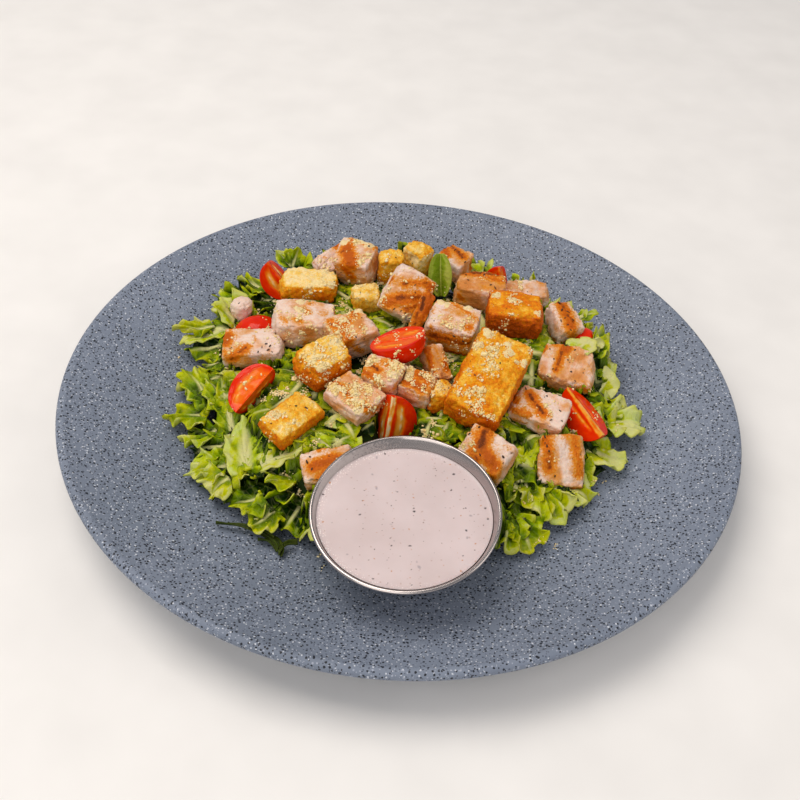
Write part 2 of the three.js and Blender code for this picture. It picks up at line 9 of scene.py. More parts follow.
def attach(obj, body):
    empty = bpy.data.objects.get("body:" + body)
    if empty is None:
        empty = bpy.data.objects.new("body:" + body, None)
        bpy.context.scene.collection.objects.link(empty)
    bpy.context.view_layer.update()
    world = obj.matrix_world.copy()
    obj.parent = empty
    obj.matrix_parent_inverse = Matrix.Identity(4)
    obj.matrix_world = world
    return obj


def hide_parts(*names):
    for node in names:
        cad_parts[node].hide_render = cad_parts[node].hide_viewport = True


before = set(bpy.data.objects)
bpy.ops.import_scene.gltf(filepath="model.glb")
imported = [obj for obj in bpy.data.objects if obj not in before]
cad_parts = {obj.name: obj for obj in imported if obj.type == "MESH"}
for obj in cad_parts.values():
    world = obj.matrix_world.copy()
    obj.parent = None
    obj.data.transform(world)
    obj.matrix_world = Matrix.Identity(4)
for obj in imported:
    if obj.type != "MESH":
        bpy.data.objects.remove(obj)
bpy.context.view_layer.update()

# ------------------------------------------------------------------------------- camera, light and table
# A pale table top under plain soft studio light, and a camera on the diner's side that looks down on the
# plate from 43 degrees, turned a little about its own axis.
MM = 0.001
AIM = Vector((-0.6, -4.6, 20)) * MM
DISTANCE = 457.8 * MM
CAMERA_TILT = math.radians(42.9)
CAMERA_ROLL = math.radians(4.21)
LENS = 49.5
SENSOR = 36
TABLE_SIZE = 6
TABLE_GAP = 0.3 * MM  # keeps the table top clear of the plate's foot
LIGHTS_AIM = Vector((0, 0, 20)) * MM
ROOM_LIGHT = 0.36

camera = bpy.data.objects.new("camera", bpy.data.cameras.new("camera"))
bpy.context.collection.objects.link(camera)
bpy.context.scene.camera = camera
camera_turn = Matrix.Rotation(math.pi / 2 - CAMERA_TILT, 3, "X") @ Matrix.Rotation(CAMERA_ROLL, 3, "Z")
camera.rotation_euler = camera_turn.to_euler()
camera.location = AIM + camera_turn @ Vector((0, 0, DISTANCE))
camera.data.lens = LENS
camera.data.sensor_width = SENSOR
camera.data.clip_start = 0.01
camera.data.clip_end = 20


def linear(colour):
    """An sRGB hex colour as linear RGBA."""
    parts = [int(colour[i : i + 2], 16) / 255 for i in (1, 3, 5)]
    return [c / 12.92 if c <= 0.04045 else ((c + 0.055) / 1.055) ** 2.4 for c in parts] + [1.0]


def add_node(material, kind, inputs=None, stops=(), **settings):
    """A shader node with its settings. An input is a plain value, a hex colour or another node's socket;
    stops are the places and the colours or greys of a colour ramp."""
    node = material.node_tree.nodes.new("ShaderNode" + kind)
    for name, value in settings.items():
        setattr(node, name, value)
    for name, value in (inputs or {}).items():
        if isinstance(value, bpy.types.NodeSocket):
            material.node_tree.links.new(value, node.inputs[name])
        else:
            node.inputs[name].default_value = linear(value) if isinstance(value, str) else value
    while len(stops) > len(node.color_ramp.elements if stops else ()):
        node.color_ramp.elements.new(0.5)
    for number, (position, value) in enumerate(stops):
        node.color_ramp.elements[number].position = position
        grey = None if isinstance(value, str) else (value, value, value, 1)
        node.color_ramp.elements[number].color = grey or linear(value)
    return node


def new_material(name):
    """An empty material, and the object's own coordinates in it."""
    material = bpy.data.materials.new(name)
    material.use_nodes = True
    material.node_tree.nodes.clear()
    return material, add_node(material, "TexCoord").outputs["Object"]


bpy.ops.mesh.primitive_plane_add(size=TABLE_SIZE, location=(0, 0, -TABLE_GAP))
table_top = bpy.context.object
table_top.name = "table_top"
matt_card, place = new_material("matt_white_card")
mottle = add_node(matt_card, "TexNoise", {"Vector": place, "Scale": 30})
card = add_node(matt_card, "ValToRGB", {"Fac": mottle.outputs["Fac"]}, [(0.3, "#ecebea"), (0.7, "#f2f1f0")])
shader = add_node(matt_card, "BsdfPrincipled", {"Base Color": card.outputs["Color"], "Roughness": 0.8})
add_node(matt_card, "OutputMaterial", {"Surface": shader.outputs["BSDF"]})
table_top.data.materials.append(matt_card)


def softbox(name, location, size, power, colour):
    """A square light that aims at the salad."""
    lamp = bpy.data.objects.new(name, bpy.data.lights.new(name, "AREA"))
    bpy.context.collection.objects.link(lamp)
    lamp.data.size = size
    lamp.data.energy = power
    lamp.data.color = linear(colour)[:3]
    lamp.location = location
    lamp.rotation_euler = (LIGHTS_AIM - lamp.location).to_track_quat("-Z", "Y").to_euler()


softbox("overhead_softbox", (-0.45, 0.15, 1.15), 0.9, 10, "#fff6ec")
softbox("side_softbox", (1.1, -0.1, 0.8), 0.7, 2.6, "#fff6ee")
softbox("front_fill", (-0.4, -1.2, 0.9), 1.2, 8, "#fff9f2")
world = bpy.data.worlds.new("studio")
world.use_nodes = True
world.node_tree.nodes["Background"].inputs["Color"].default_value = linear("#f4f4f6")
world.node_tree.nodes["Background"].inputs["Strength"].default_value = ROOM_LIGHT
bpy.context.scene.world = world
bpy.context.scene.view_settings.view_transform = "Standard"

# ------------------------------------------------------------------------------- the plate
# A coupe plate of stoneware, thrown round and smooth, with a rounded lip and a low foot. Its satin grey
# glaze is full of fine black and white specks.
PLATE_PROFILE = [
    (2, 1.8), (64, 1.8), (66.5, 0.1), (68, 0), (71.5, 0), (73, 0.4), (76, 1.9), (96, 4.6), (122, 13),
    (136, 18.2), (138.6, 19.6), (139.7, 20.8), (140, 22), (139.6, 23.2), (138.3, 23.95), (136.8, 23.9),
    (135.4, 23.2), (129, 20.7), (116, 16.1), (98, 11.5), (76, 8.1), (48, 6.7), (2, 6.5),
]  # fmt: skip
PLATE_SEGMENTS = 240
CURVE_STEPS = 4  # steps of a smooth curve between two points of a profile


def eased(profile, steps):
    """Points on a smooth curve through the profile's points, none of them below the lowest."""
    points = [np.array(p, float) for p in profile]
    points = [2 * points[0] - points[1], *points, 2 * points[-1] - points[-2]]
    curve = []
    for a, b, c, d in zip(points, points[1:], points[2:], points[3:]):
        knots = [0.0]
        for p, q in ((a, b), (b, c), (c, d)):
            knots.append(knots[-1] + max(np.linalg.norm(q - p), 1e-6) ** 0.5)
        t0, t1, t2, t3 = knots
        for t in np.linspace(t1, t2, steps, endpoint=False):
            a1 = (t1 - t) / (t1 - t0) * a + (t - t0) / (t1 - t0) * b
            a2 = (t2 - t) / (t2 - t1) * b + (t - t1) / (t2 - t1) * c
            a3 = (t3 - t) / (t3 - t2) * c + (t - t2) / (t3 - t2) * d
            b1 = (t2 - t) / (t2 - t0) * a1 + (t - t0) / (t2 - t0) * a2
            b2 = (t3 - t) / (t3 - t1) * a2 + (t - t1) / (t3 - t1) * a3
            curve.append((t2 - t) / (t2 - t1) * b1 + (t - t1) / (t2 - t1) * b2)
    lowest = min(z for _, z in profile)
    return [(r, max(z, lowest)) for r, z in curve] + [tuple(points[-2])]


def turned(name, profile, segments):
    """A round piece: a circle extruded ring by ring along a profile of radius and height in millimetres."""
    bpy.ops.object.select_all(action="DESELECT")
    radius, height = profile[0]
    bpy.ops.mesh.primitive_circle_add(vertices=segments, radius=radius * MM, location=(0, 0, height * MM))
    piece = bpy.context.object
    piece.name = name
    bpy.ops.object.mode_set(mode="EDIT")
    bpy.ops.mesh.select_mode(type="EDGE")
    bpy.ops.mesh.select_all(action="SELECT")
    for (r0, z0), (r1, z1) in zip(profile, profile[1:]):
        bpy.ops.mesh.extrude_edges_move(TRANSFORM_OT_translate={"value": (0, 0, (z1 - z0) * MM)})
        bpy.ops.transform.resize(value=(r1 / r0, r1 / r0, 1), center_override=(0, 0, z1 * MM))
    bpy.ops.mesh.select_all(action="SELECT")
    bpy.ops.mesh.fill_holes(sides=0)
    bpy.ops.mesh.select_all(action="SELECT")
    bpy.ops.mesh.normals_make_consistent(inside=False)
    bpy.ops.object.mode_set(mode="OBJECT")
    bpy.ops.object.transform_apply(location=True, rotation=True, scale=True)
    bpy.ops.object.shade_smooth()
    return piece


plate = turned("plate_glazed", eased(PLATE_PROFILE, CURVE_STEPS), PLATE_SEGMENTS)

# Satin glaze: the specks are iron and tin grains under 1 mm across that lie in the glaze, so it keeps an
# even sheen over them.
speckled_glaze, place = new_material("speckled_satin_glaze")
clouds = add_node(speckled_glaze, "TexNoise", {"Vector": place, "Scale": 14, "Detail": 4, "Roughness": 0.6})
ground = add_node(
    speckled_glaze,
    "ValToRGB",
    {"Fac": clouds.outputs["Fac"]},
    [(0.3, "#6f798a"), (0.55, "#788294"), (0.8, "#828c9e")],
).outputs["Color"]


def specks(material, vector, spacing, share, low, high, lobes=0.35, dimensions="3D"):
    """A mask of scattered specks: their spacing in millimetres, the share of the places that hold one,
    and their least and greatest radius as parts of the spacing."""
    wobble = add_node(material, "TexNoise", {"Vector": vector, "Scale": 2.2 / (spacing * MM), "Detail": 1})
    stretch = {0: wobble.outputs["Color"], "Scale": lobes * spacing * MM}
    shift = add_node(material, "VectorMath", stretch, operation="SCALE")
    moved = add_node(material, "VectorMath", {0: vector, 1: shift.outputs["Vector"]}, operation="ADD")
    cells = {"Vector": moved.outputs["Vector"], "Scale": 1 / (spacing * MM)}
    cells = add_node(material, "TexVoronoi", cells, voronoi_dimensions=dimensions)
    split = add_node(material, "SeparateColor", {"Color": cells.outputs["Color"]})
    size = add_node(material, "MapRange", {"Value": split.outputs["Green"], "To Min": low, "To Max": high})
    to_edge = {0: size.outputs["Result"], 1: cells.outputs["Distance"]}
    inside = add_node(material, "Math", to_edge, operation="SUBTRACT")
    soft = add_node(material, "MapRange", {"Value": inside.outputs["Value"], "From Max": 0.06})
    chosen = add_node(material, "Math", {0: split.outputs["Red"], 1: share}, operation="LESS_THAN")
    both = {0: soft.outputs["Result"], 1: chosen.outputs["Value"]}
    return add_node(material, "Math", both, operation="MULTIPLY").outputs["Value"]


for spacing, share, low, high, colour in (
    (1.1, 0.7, 0.2, 0.38, "#525a6b"),
    (1.2, 0.7, 0.2, 0.36, "#9ba3b4"),
    (1.35, 0.9, 0.24, 0.4, "#1a1f29"),
    (1.5, 0.75, 0.16, 0.28, "#c9cfda"),
):
    speck = specks(speckled_glaze, place, spacing, share, low, high)
    ground = add_node(speckled_glaze, "Mix", {0: speck, 6: ground, 7: colour}, data_type="RGBA").outputs[2]
uneven = {"Height": clouds.outputs["Fac"], "Distance": 0.4 * MM, "Strength": 0.25}
relief = add_node(speckled_glaze, "Bump", uneven)
shader = add_node(
    speckled_glaze,
    "BsdfPrincipled",
    {"Base Color": ground, "Roughness": 0.55, "Specular IOR Level": 0.35, "Normal": relief.outputs["Normal"]},
)
add_node(speckled_glaze, "OutputMaterial", {"Surface": shader.outputs["BSDF"]})
plate.data.materials.append(speckled_glaze)
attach(plate, "root")
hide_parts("plate")

# ------------------------------------------------------------------------------- the sauce cup
# A flared condiment cup spun from thin stainless steel, its rim rolled to a round bead. It stands on the
# plate at the front edge of its base and leans on the lettuce behind it.
CUP_PROFILE = [
    (1, 0.7), (15.5, 0.7), (17.2, 1.7), (18.7, 3), (23.8, 10), (29.5, 18.7), (32.2, 23.4), (32.9, 24.5),
    (33.3, 24.9), (33.8, 24.9), (34.2, 24.6), (34.3, 24.1), (34.1, 23.6), (33.6, 23.35), (33.2, 23.3),
    (30.2, 18.3), (24.5, 9.5), (18.9, 1.9), (17.6, 0.4), (16, 0), (1, 0),
]  # fmt: skip
CUP_PLACE = Vector((5.2, -78.5, 13.6)) * MM
CUP_LEAN = Vector((-0.04, -0.1, 1)).normalized()
CUP_SEGMENTS = 160
SPLASH_TURN = math.radians(160)  # which side of the inner wall is splashed, from +X
SPLASH_SPAN = math.radians(65)
SPLASH_FROM, SPLASH_FADE = 17 * MM, 2 * MM  # how high up the wall it starts
RIM_INSIDE = 33 * MM


def mark(mesh, name, values):
    """Stores a number or a vector for each vertex, for the piece's material to read."""
    kind = "FLOAT" if values.ndim == 1 else "FLOAT_VECTOR"
    layer = mesh.attributes.new(name, kind, "POINT")
    layer.data.foreach_set("value" if values.ndim == 1 else "vector", values.astype(np.float32).ravel())


def points_of(mesh, field="co"):
    """A mesh's points, or its normals, as rows of three numbers."""
    values = np.empty(3 * len(mesh.vertices), np.float32)
    mesh.vertices.foreach_get(field, values)
    return values.reshape(-1, 3).astype(float)


cup = turned("steel_sauce_cup", eased(CUP_PROFILE, CURVE_STEPS), CUP_SEGMENTS)
points = points_of(cup.data)
radius = np.hypot(points[:, 0], points[:, 1])
mark(cup.data, "spun", np.stack([radius + points[:, 2], 0.02 * points[:, 0], 0.02 * points[:, 1]], axis=1))
off_splash = np.angle(np.exp(1j * (np.arctan2(points[:, 1], points[:, 0]) - SPLASH_TURN)))
facing_up = points_of(cup.data, "normal")[:, 2] > 0.2
inner = np.clip((points[:, 2] - SPLASH_FROM) / SPLASH_FADE, 0, 1) * facing_up
mark(cup.data, "splash", np.exp(-((off_splash / SPLASH_SPAN) ** 2)) * inner * (radius < RIM_INSIDE))
cup_turn = Vector((0, 0, 1)).rotation_difference(CUP_LEAN).to_matrix().to_4x4()
cup_place = Matrix.Translation(CUP_PLACE) @ cup_turn
cup.data.transform(cup_place)

# Polished stainless steel with very faint rings from spinning, and a dried whitish film of dressing on the
# inner wall at the left.
spun_steel, place = new_material("spun_stainless_steel")
spun = add_node(spun_steel, "Attribute", attribute_name="spun").outputs["Vector"]
rings = add_node(spun_steel, "TexNoise", {"Vector": spun, "Scale": 700, "Detail": 2}).outputs["Fac"]
steel = add_node(spun_steel, "ValToRGB", {"Fac": rings}, [(0.3, "#b0a8a6"), (0.7, "#c2bab8")])
film = add_node(spun_steel, "Attribute", attribute_name="splash").outputs["Fac"]
spatter = add_node(spun_steel, "TexNoise", {"Vector": place, "Scale": 1400, "Detail": 3, "Roughness": 0.7})
thin = add_node(spun_steel, "Math", {0: film, 1: spatter.outputs["Fac"]}, operation="MULTIPLY")
cover = add_node(spun_steel, "ValToRGB", {"Fac": thin.outputs["Value"]}, [(0.22, 0.0), (0.5, 0.75)])
mixed = {0: cover.outputs["Color"], 6: steel.outputs["Color"], 7: "#cfc6c4"}
steel = add_node(spun_steel, "Mix", mixed, data_type="RGBA").outputs[2]
bare = add_node(spun_steel, "ValToRGB", {"Fac": cover.outputs["Color"]}, [(0.0, 1.0), (0.75, 0.35)])
sheen = add_node(spun_steel, "ValToRGB", {"Fac": thin.outputs["Value"]}, [(0.2, 0.19), (0.5, 0.6)])
relief = add_node(spun_steel, "Bump", {"Height": rings, "Distance": 0.03 * MM, "Strength": 0.12})
shader = add_node(
    spun_steel,
    "BsdfPrincipled",
    {
        "Base Color": steel,
        "Metallic": bare.outputs["Color"],
        "Roughness": sheen.outputs["Color"],
        "Normal": relief.outputs["Normal"],
    },
)
add_node(spun_steel, "OutputMaterial", {"Surface": shader.outputs["BSDF"]})
cup.data.materials.append(spun_steel)
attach(cup, "root")
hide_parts("sauce_cup")

# ------------------------------------------------------------------------------- the dressing
# Thick caesar dressing poured into the cup. It creeps up the steel at its edge, and ground pepper and
# flecks of herb and anchovy float in it.
DRESSING_PLACE = Vector((3.4, -79.5, 36)) * MM
DRESSING_UP = Vector((-0.026, -0.058, 1)).normalized()
FILL_PROFILE = [
    (1, 1.05), (15.2, 1.05), (17, 2.1), (18.4, 3.2), (23.45, 10), (29.15, 18.7), (32.6, 24.5), (1, 24.6),
]  # fmt: skip
# The rings of its surface from the steel inwards: how wide each is, and how far it drops, in millimetres.
SURFACE_RINGS = [(0.25, 0.28), (0.35, 0.16), (0.6, 0.06), (2, 0), (5, 0), (8, 0), (9, 0)]
FOAM_REACH, FOAM_FADE = 1.9 * MM, 0.9 * MM  # how far from the steel the bubbles reach


def open_mesh(piece):
    """Opens one piece in edit mode, with all of its mesh selected and nothing else."""
    bpy.ops.object.select_all(action="DESELECT")
    bpy.context.view_layer.objects.active = piece
    piece.select_set(True)
    bpy.ops.object.mode_set(mode="EDIT")
    bpy.ops.mesh.select_all(action="SELECT")


dressing = turned("caesar_dressing", FILL_PROFILE, CUP_SEGMENTS)
dressing.data.transform(cup_place)
open_mesh(dressing)
bpy.ops.mesh.bisect(plane_co=DRESSING_PLACE, plane_no=DRESSING_UP, use_fill=True, clear_outer=True)
bpy.ops.mesh.select_mode(type="FACE")
for inset, drop in SURFACE_RINGS:
    bpy.ops.mesh.inset(thickness=inset * MM, depth=-drop * MM)
bpy.ops.object.mode_set(mode="OBJECT")
bpy.ops.object.shade_smooth_by_angle(angle=math.radians(50))
points = points_of(dressing.data)
points = points - (points.max(axis=0) + points.min(axis=0)) / 2
reach = np.hypot(points[:, 0], points[:, 1])
at_edge = np.clip((reach - (reach.max() - FOAM_REACH)) / FOAM_FADE, 0, 1)
mark(dressing.data, "foam", at_edge * np.clip(0.5 - 0.5 * points[:, 0] / reach.max(), 0.1, 1))

# Egg and oil emulsion: smooth, softly shining, slightly see-through, so deep flecks look grey and blurred.
# Where it meets the steel a line of tiny pale bubbles stays from pouring.
dressing_cream, place = new_material("pale_egg_emulsion")
swirl = add_node(dressing_cream, "TexNoise", {"Vector": place, "Scale": 60, "Detail": 3}).outputs["Fac"]
cream = add_node(dressing_cream, "ValToRGB", {"Fac": swirl}, [(0.3, "#ccbbbb"), (0.7, "#d6c6c7")])
cream = cream.outputs["Color"]
for spacing, share, low, high, colour in (
    (8.5, 0.45, 0.05, 0.1, "#aea0a4"),
    (6.5, 0.4, 0.055, 0.1, "#43383a"),
    (6.0, 0.4, 0.045, 0.09, "#c08a66"),
    (3.4, 0.4, 0.06, 0.14, "#c1aaa7"),
    (3.6, 0.28, 0.06, 0.11, "#94817e"),
    (2.6, 0.08, 0.03, 0.07, "#655656"),
):
    fleck = specks(dressing_cream, place, spacing, share, low, high, 0.28, "2D")
    cream = add_node(dressing_cream, "Mix", {0: fleck, 6: cream, 7: colour}, data_type="RGBA").outputs[2]
foam = add_node(dressing_cream, "Attribute", attribute_name="foam").outputs["Fac"]
bubbles = specks(dressing_cream, place, 0.9, 0.6, 0.2, 0.34, 0.2, "2D")
bubbles = add_node(dressing_cream, "Math", {0: bubbles, 1: foam}, operation="MULTIPLY").outputs["Value"]
cream = add_node(dressing_cream, "Mix", {0: bubbles, 6: cream, 7: "#f6ece8"}, data_type="RGBA").outputs[2]
relief = add_node(dressing_cream, "Bump", {"Height": swirl, "Distance": 0.6 * MM, "Strength": 0.2})
shader = add_node(
    dressing_cream,
    "BsdfPrincipled",
    {
        "Base Color": cream,
        "Roughness": 0.4,
        "IOR": 1.46,
        "Subsurface Weight": 0.2,
        "Subsurface Radius": (1.0, 0.7, 0.6),
        "Subsurface Scale": 1.5 * MM,
        "Normal": relief.outputs["Normal"],
    },
)
add_node(dressing_cream, "OutputMaterial", {"Surface": shader.outputs["BSDF"]})
dressing.data.materials.append(dressing_cream)
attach(dressing, "root")
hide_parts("dressing")

# ------------------------------------------------------------------------------- the grilled chicken
# Chicken breast grilled on hot bars and cut into cubes: pale moist cut faces with fibres, golden seared
# places, and brown marks where the bars touched.
MEAT_PITCH = 0.55 * MM
# Each cube: the heading and rise of its fibres in degrees, how rosy it is from 0 to 1, and its marks: their
# kind, the pixels where their two ends show, their half width in millimetres, and how strong they are.
CHICKEN = {
    "chicken_01": ((7, 0), 0.45, [
        ("orange", (228, 336), (226, 342), 2.4, 1.0), ("orange", (224, 350), (226, 356), 1.2, 0.5),
        ("brown", (231.6, 358.4), (245.4, 348.7), 1.3, 1.0), ("orange", (228, 359), (250, 359), 1.4, 0.35),
        ("orange", (254, 337), (256, 341), 1.0, 0.5), ("pale", (262, 336), (280, 345), 4.5, 1.0),
    ]),
    "chicken_02": ((5, 10), 0.35, [
        ("orange", (305, 309), (308, 312), 1.4, 0.55), ("orange", (295, 320), (299, 321), 1.4, 0.5),
        ("orange", (282, 318), (286, 322), 1.6, 0.4), ("rosy", (303, 330), (316, 337), 3.0, 1.0),
        ("pale", (276, 305), (274, 330), 2.4, 0.8),
    ]),
    "chicken_03": ((60, 0), 0.15, [("pale", (240, 304), (247, 306), 4.0, 1.0)]),
    "chicken_04": ((33, 15), 0.6, [
        ("brown", (354, 312), (355, 316), 1.1, 1.0), ("brown", (346.5, 320), (347.5, 322), 1.1, 1.0),
        ("orange", (338, 325), (349, 342), 2.6, 0.8), ("orange", (352, 346), (362, 352), 1.3, 0.5),
        ("brown", (330, 322), (334, 327), 0.8, 0.8), ("rosy", (358, 322), (366, 336), 3.0, 0.8),
    ]),
    "chicken_05": ((50, 20), 0.2, [("orange", (313, 262), (325, 258), 1.0, 0.3)]),
    "chicken_06": ((-18, 40), 0.6, [
        ("orange", (347, 248), (351, 264), 2.8, 1.1), ("orange", (343, 266), (352, 277), 2.0, 0.9),
        ("orange", (354, 239), (372, 243), 1.8, 1.0), ("brown", (358, 237), (366, 240), 0.8, 0.8),
        ("brown", (340, 252), (349, 250), 0.9, 0.7), ("orange", (376, 246), (381, 252), 1.2, 0.5),
    ]),
    "chicken_07": ((-12, 0), 0.4, [
        ("orange", (392, 280), (434, 287), 1.6, 1.0), ("brown", (404, 284), (426, 283), 0.8, 0.8),
        ("orange", (388, 302), (416, 298), 3.2, 0.8), ("brown", (398, 298), (418, 297), 1.8, 0.9),
        ("brown", (406, 309), (422, 303), 1.5, 0.7), ("pale", (380, 300), (396, 265), 1.3, 1.2),
        ("pale", (390, 313), (404, 318), 2.2, 0.9), ("pale", (396, 266), (406, 262), 3.0, 0.8),
    ]),
    "chicken_08": ((-14, 5), 0.35, [
        ("orange", (441, 296), (450, 301), 1.4, 0.9), ("orange", (455, 306), (475, 318), 1.2, 0.6),
        ("orange", (432, 326), (433, 332), 0.9, 0.7), ("brown", (432, 335), (470, 343), 2.2, 0.9),
        ("brown", (440, 349), (466, 357), 2.0, 0.8), ("orange", (468, 328), (478, 345), 1.6, 0.8),
        ("pale", (440, 306), (434, 328), 2.0, 0.8),
    ]),
    "chicken_09": ((-35, 0), 0.6, [
        ("orange", (441, 249), (447, 255), 2.2, 0.9), ("brown", (452, 247), (462, 257), 1.8, 0.9),
        ("orange", (462, 256), (471, 266), 1.9, 0.9), ("pale", (449, 262), (455, 270), 2.4, 0.9),
    ]),
    "chicken_10": ((-5, 0), 0.8, [
        ("brown", (467, 272), (497, 276), 1.8, 0.95), ("orange", (460, 270), (500, 281), 2.6, 0.7),
        ("orange", (459, 295), (463, 300), 1.2, 0.7), ("orange", (480, 285), (494, 290), 1.2, 0.4),
        ("orange", (456, 285), (460, 292), 1.0, 0.5), ("rosy", (464, 286), (476, 304), 3.4, 0.9),
    ]),
    "chicken_11": ((2, 0), 0.5, [("orange", (500, 290), (548, 296), 1.0, 0.4)]),
    "chicken_12": ((-42, 50), 0.2, [
        ("orange", (559, 301), (571, 326), 2.6, 0.9), ("brown", (560, 303), (572, 322), 1.5, 0.8),
        ("orange", (567, 328), (574, 338), 2.0, 0.6), ("orange", (551, 339), (565, 341), 1.0, 0.5),
    ]),
    "chicken_13": ((75, 25), 0.75, [
        ("orange", (566, 347), (552, 390), 2.4, 1.15), ("brown", (562, 352), (556, 370), 0.9, 0.9),
        ("orange", (540, 345), (538, 351), 1.2, 0.9), ("orange", (541, 379), (549, 387), 1.6, 0.6),
        ("orange", (578, 389), (588, 391), 1.3, 0.6), ("pale", (546, 350), (548, 372), 2.0, 0.7),
    ]),
    "chicken_14": ((-24, 0), 0.4, [
        ("brown", (530, 395), (543, 413), 1.2, 1.1), ("orange", (535, 397), (547, 415), 1.7, 0.7),
        ("orange", (512, 396), (517, 402), 1.4, 0.7), ("orange", (513, 410), (528, 414), 1.8, 0.6),
        ("orange", (514, 418), (524, 422), 1.4, 0.35), ("pale", (546, 404), (562, 417), 3.0, 0.7),
    ]),
    "chicken_15": ((-100, -30), 0.5, [
        ("brown", (486, 431), (481, 447), 2.7, 1.05), ("orange", (482, 448), (494, 466), 2.8, 0.95),
        ("orange", (490, 465), (493, 476), 1.6, 0.8), ("brown", (472, 452), (478, 461), 0.7, 0.9),
        ("orange", (467, 430), (474, 437), 1.8, 0.4), ("brown", (504, 446), (508, 449), 0.5, 0.6),
        ("pale", (500, 440), (508, 458), 2.6, 0.9),
    ]),
    "chicken_16": ((-90, -40), 0.65, [
        ("brown", (547, 436), (549, 468), 1.6, 0.9), ("orange", (545, 440), (556, 487), 2.6, 0.8),
        ("orange", (574, 438), (579, 474), 2.2, 0.65), ("brown", (577.5, 462), (578.5, 468), 0.8, 0.8),
        ("orange", (549, 488), (577, 488), 0.9, 0.9), ("pale", (539, 440), (542, 480), 1.2, 1.0),
        ("pale", (562, 440), (566, 480), 1.6, 0.8),
    ]),
    "chicken_17": ((16, 0), 0.45, [
        ("orange", (313, 467), (334, 459), 2.6, 0.9), ("orange", (318, 476), (332, 468), 2.0, 0.6),
        ("pale", (302, 456), (352, 446), 1.2, 1.2),
    ]),
    "chicken_18": ((-38, 0), 0.7, [
        ("orange", (334, 385), (374, 410), 1.5, 1.15), ("brown", (345, 391), (352, 396), 0.8, 0.9),
        ("brown", (361, 403), (368, 409), 0.8, 0.9),
    ]),
    "chicken_19": ((-22, 0), 0.6, [
        ("brown", (371, 365), (378, 370), 0.7, 1.0), ("orange", (363, 371), (376, 378), 1.2, 0.8),
        ("orange", (386, 363), (397, 370), 1.1, 0.6), ("brown", (384, 362), (389, 366), 0.5, 0.7),
    ]),
    "chicken_20": ((-16, 0), 0.7, [
        ("brown", (404, 373), (425, 377), 1.2, 1.4), ("orange", (406, 380), (422, 388), 2.4, 1.0),
        ("orange", (425, 380), (431, 392), 1.4, 0.7),
    ]),
    "chicken_21": ((-66, 0), 0.8, [
        ("orange", (424, 344), (433, 372), 1.2, 0.9), ("orange", (444, 362), (447, 370), 1.4, 0.9),
        ("brown", (443, 366), (446, 369), 0.6, 0.7), ("orange", (434, 346), (440, 360), 1.2, 0.4),
    ]),
    "chicken_22": ((-120, -45), 0.6, [
        ("orange", (431, 291), (427, 308), 2.4, 1.2), ("orange", (426, 306), (414, 330), 2.2, 1.1),
        ("brown", (424, 298), (421, 309), 1.2, 1.5), ("brown", (418, 312), (415, 324), 0.8, 1.0),
    ]),
}  # fmt: skip
CHEESE_EDGE = 2.7 * MM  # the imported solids' crumbs of cheese have no longer edge than this
EDGE_STEPS = 6
EDGE_LIFT = 0.42 * MM  # how far a square edge stands over the mean of its surroundings
FRAME_PIXELS = 800  # the camera's frame, which is square
EYE = np.array(camera.location)
VIEW_AXES = np.array(camera_turn)
FOCAL = FRAME_PIXELS * LENS / SENSOR


def line_of_sight(x, y):
    """The direction from the camera through a pixel."""
    middle = FRAME_PIXELS / 2
    return Vector(VIEW_AXES @ np.array([x - middle, middle - y, -FOCAL])).normalized()


def lumps(points, size, seed=0):
    """Smooth noise from about -1 to 1 at points, with lumps of that size."""
    p = np.asarray(points) / size + 0.37 * seed
    cell = np.floor(p).astype(np.int64)
    part = p - cell
    weight = part * part * part * (part * (part * 6 - 15) + 10)
    total = np.zeros(len(p))
    for corner in np.ndindex(2, 2, 2):
        x, y, z = (cell + corner).T
        mix = (x * 73856093) ^ (y * 19349663) ^ (z * 83492791) ^ (seed * 2654435761)
        mix = ((mix ^ (mix >> 13)) * 1274126177) & 0xFFFFFFFF
        value = ((mix ^ (mix >> 16)) & 0xFFFF) / 32767.5 - 1
        total += value * np.prod(np.where(corner, weight, 1 - weight), axis=1)
    return total


def tree_of(nodes):
    """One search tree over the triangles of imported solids."""
    corners, triangles = [], []
    for node in nodes:
        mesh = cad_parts[node].data
        first = len(corners)
        corners += [v.co.copy() for v in mesh.vertices]
        triangles += [[first + i for i in face.vertices] for face in mesh.polygons]
    return BVHTree.FromPolygons(corners, triangles)


def place_seen(tree, x, y):
    """The place on a piece that shows at a pixel, or beside it where the pixel just misses the piece."""
    for reach in range(16):
        for turn in np.linspace(0, 2 * np.pi, 16, endpoint=False)[: 1 if reach == 0 else 16]:
            way = line_of_sight(x + reach * math.cos(turn), y + reach * math.sin(turn))
            spot = tree.ray_cast(camera.location, way)[0]
            if spot is not None:
                return np.array(spot)
    raise ValueError(f"nothing shows near {x}, {y}")


def even_skin(node, name, pitch, rounds):
    """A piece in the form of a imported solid, its skin rebuilt in even small faces with eased edges."""
    piece = bpy.data.objects.new(name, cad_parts[node].data.copy())
    bpy.context.collection.objects.link(piece)
    open_mesh(piece)
    bpy.ops.mesh.remove_doubles(threshold=0.01 * MM)
    bpy.ops.object.mode_set(mode="OBJECT")
    remesh = piece.modifiers.new("even", "REMESH")
    remesh.mode = "VOXEL"
    remesh.voxel_size = pitch
    bpy.ops.object.modifier_apply(modifier="even")
    ease = piece.modifiers.new("ease", "SMOOTH")
    ease.iterations = rounds
    bpy.ops.object.modifier_apply(modifier="ease")
    bpy.ops.object.shade_smooth()
    piece.data.materials.clear()
    return piece


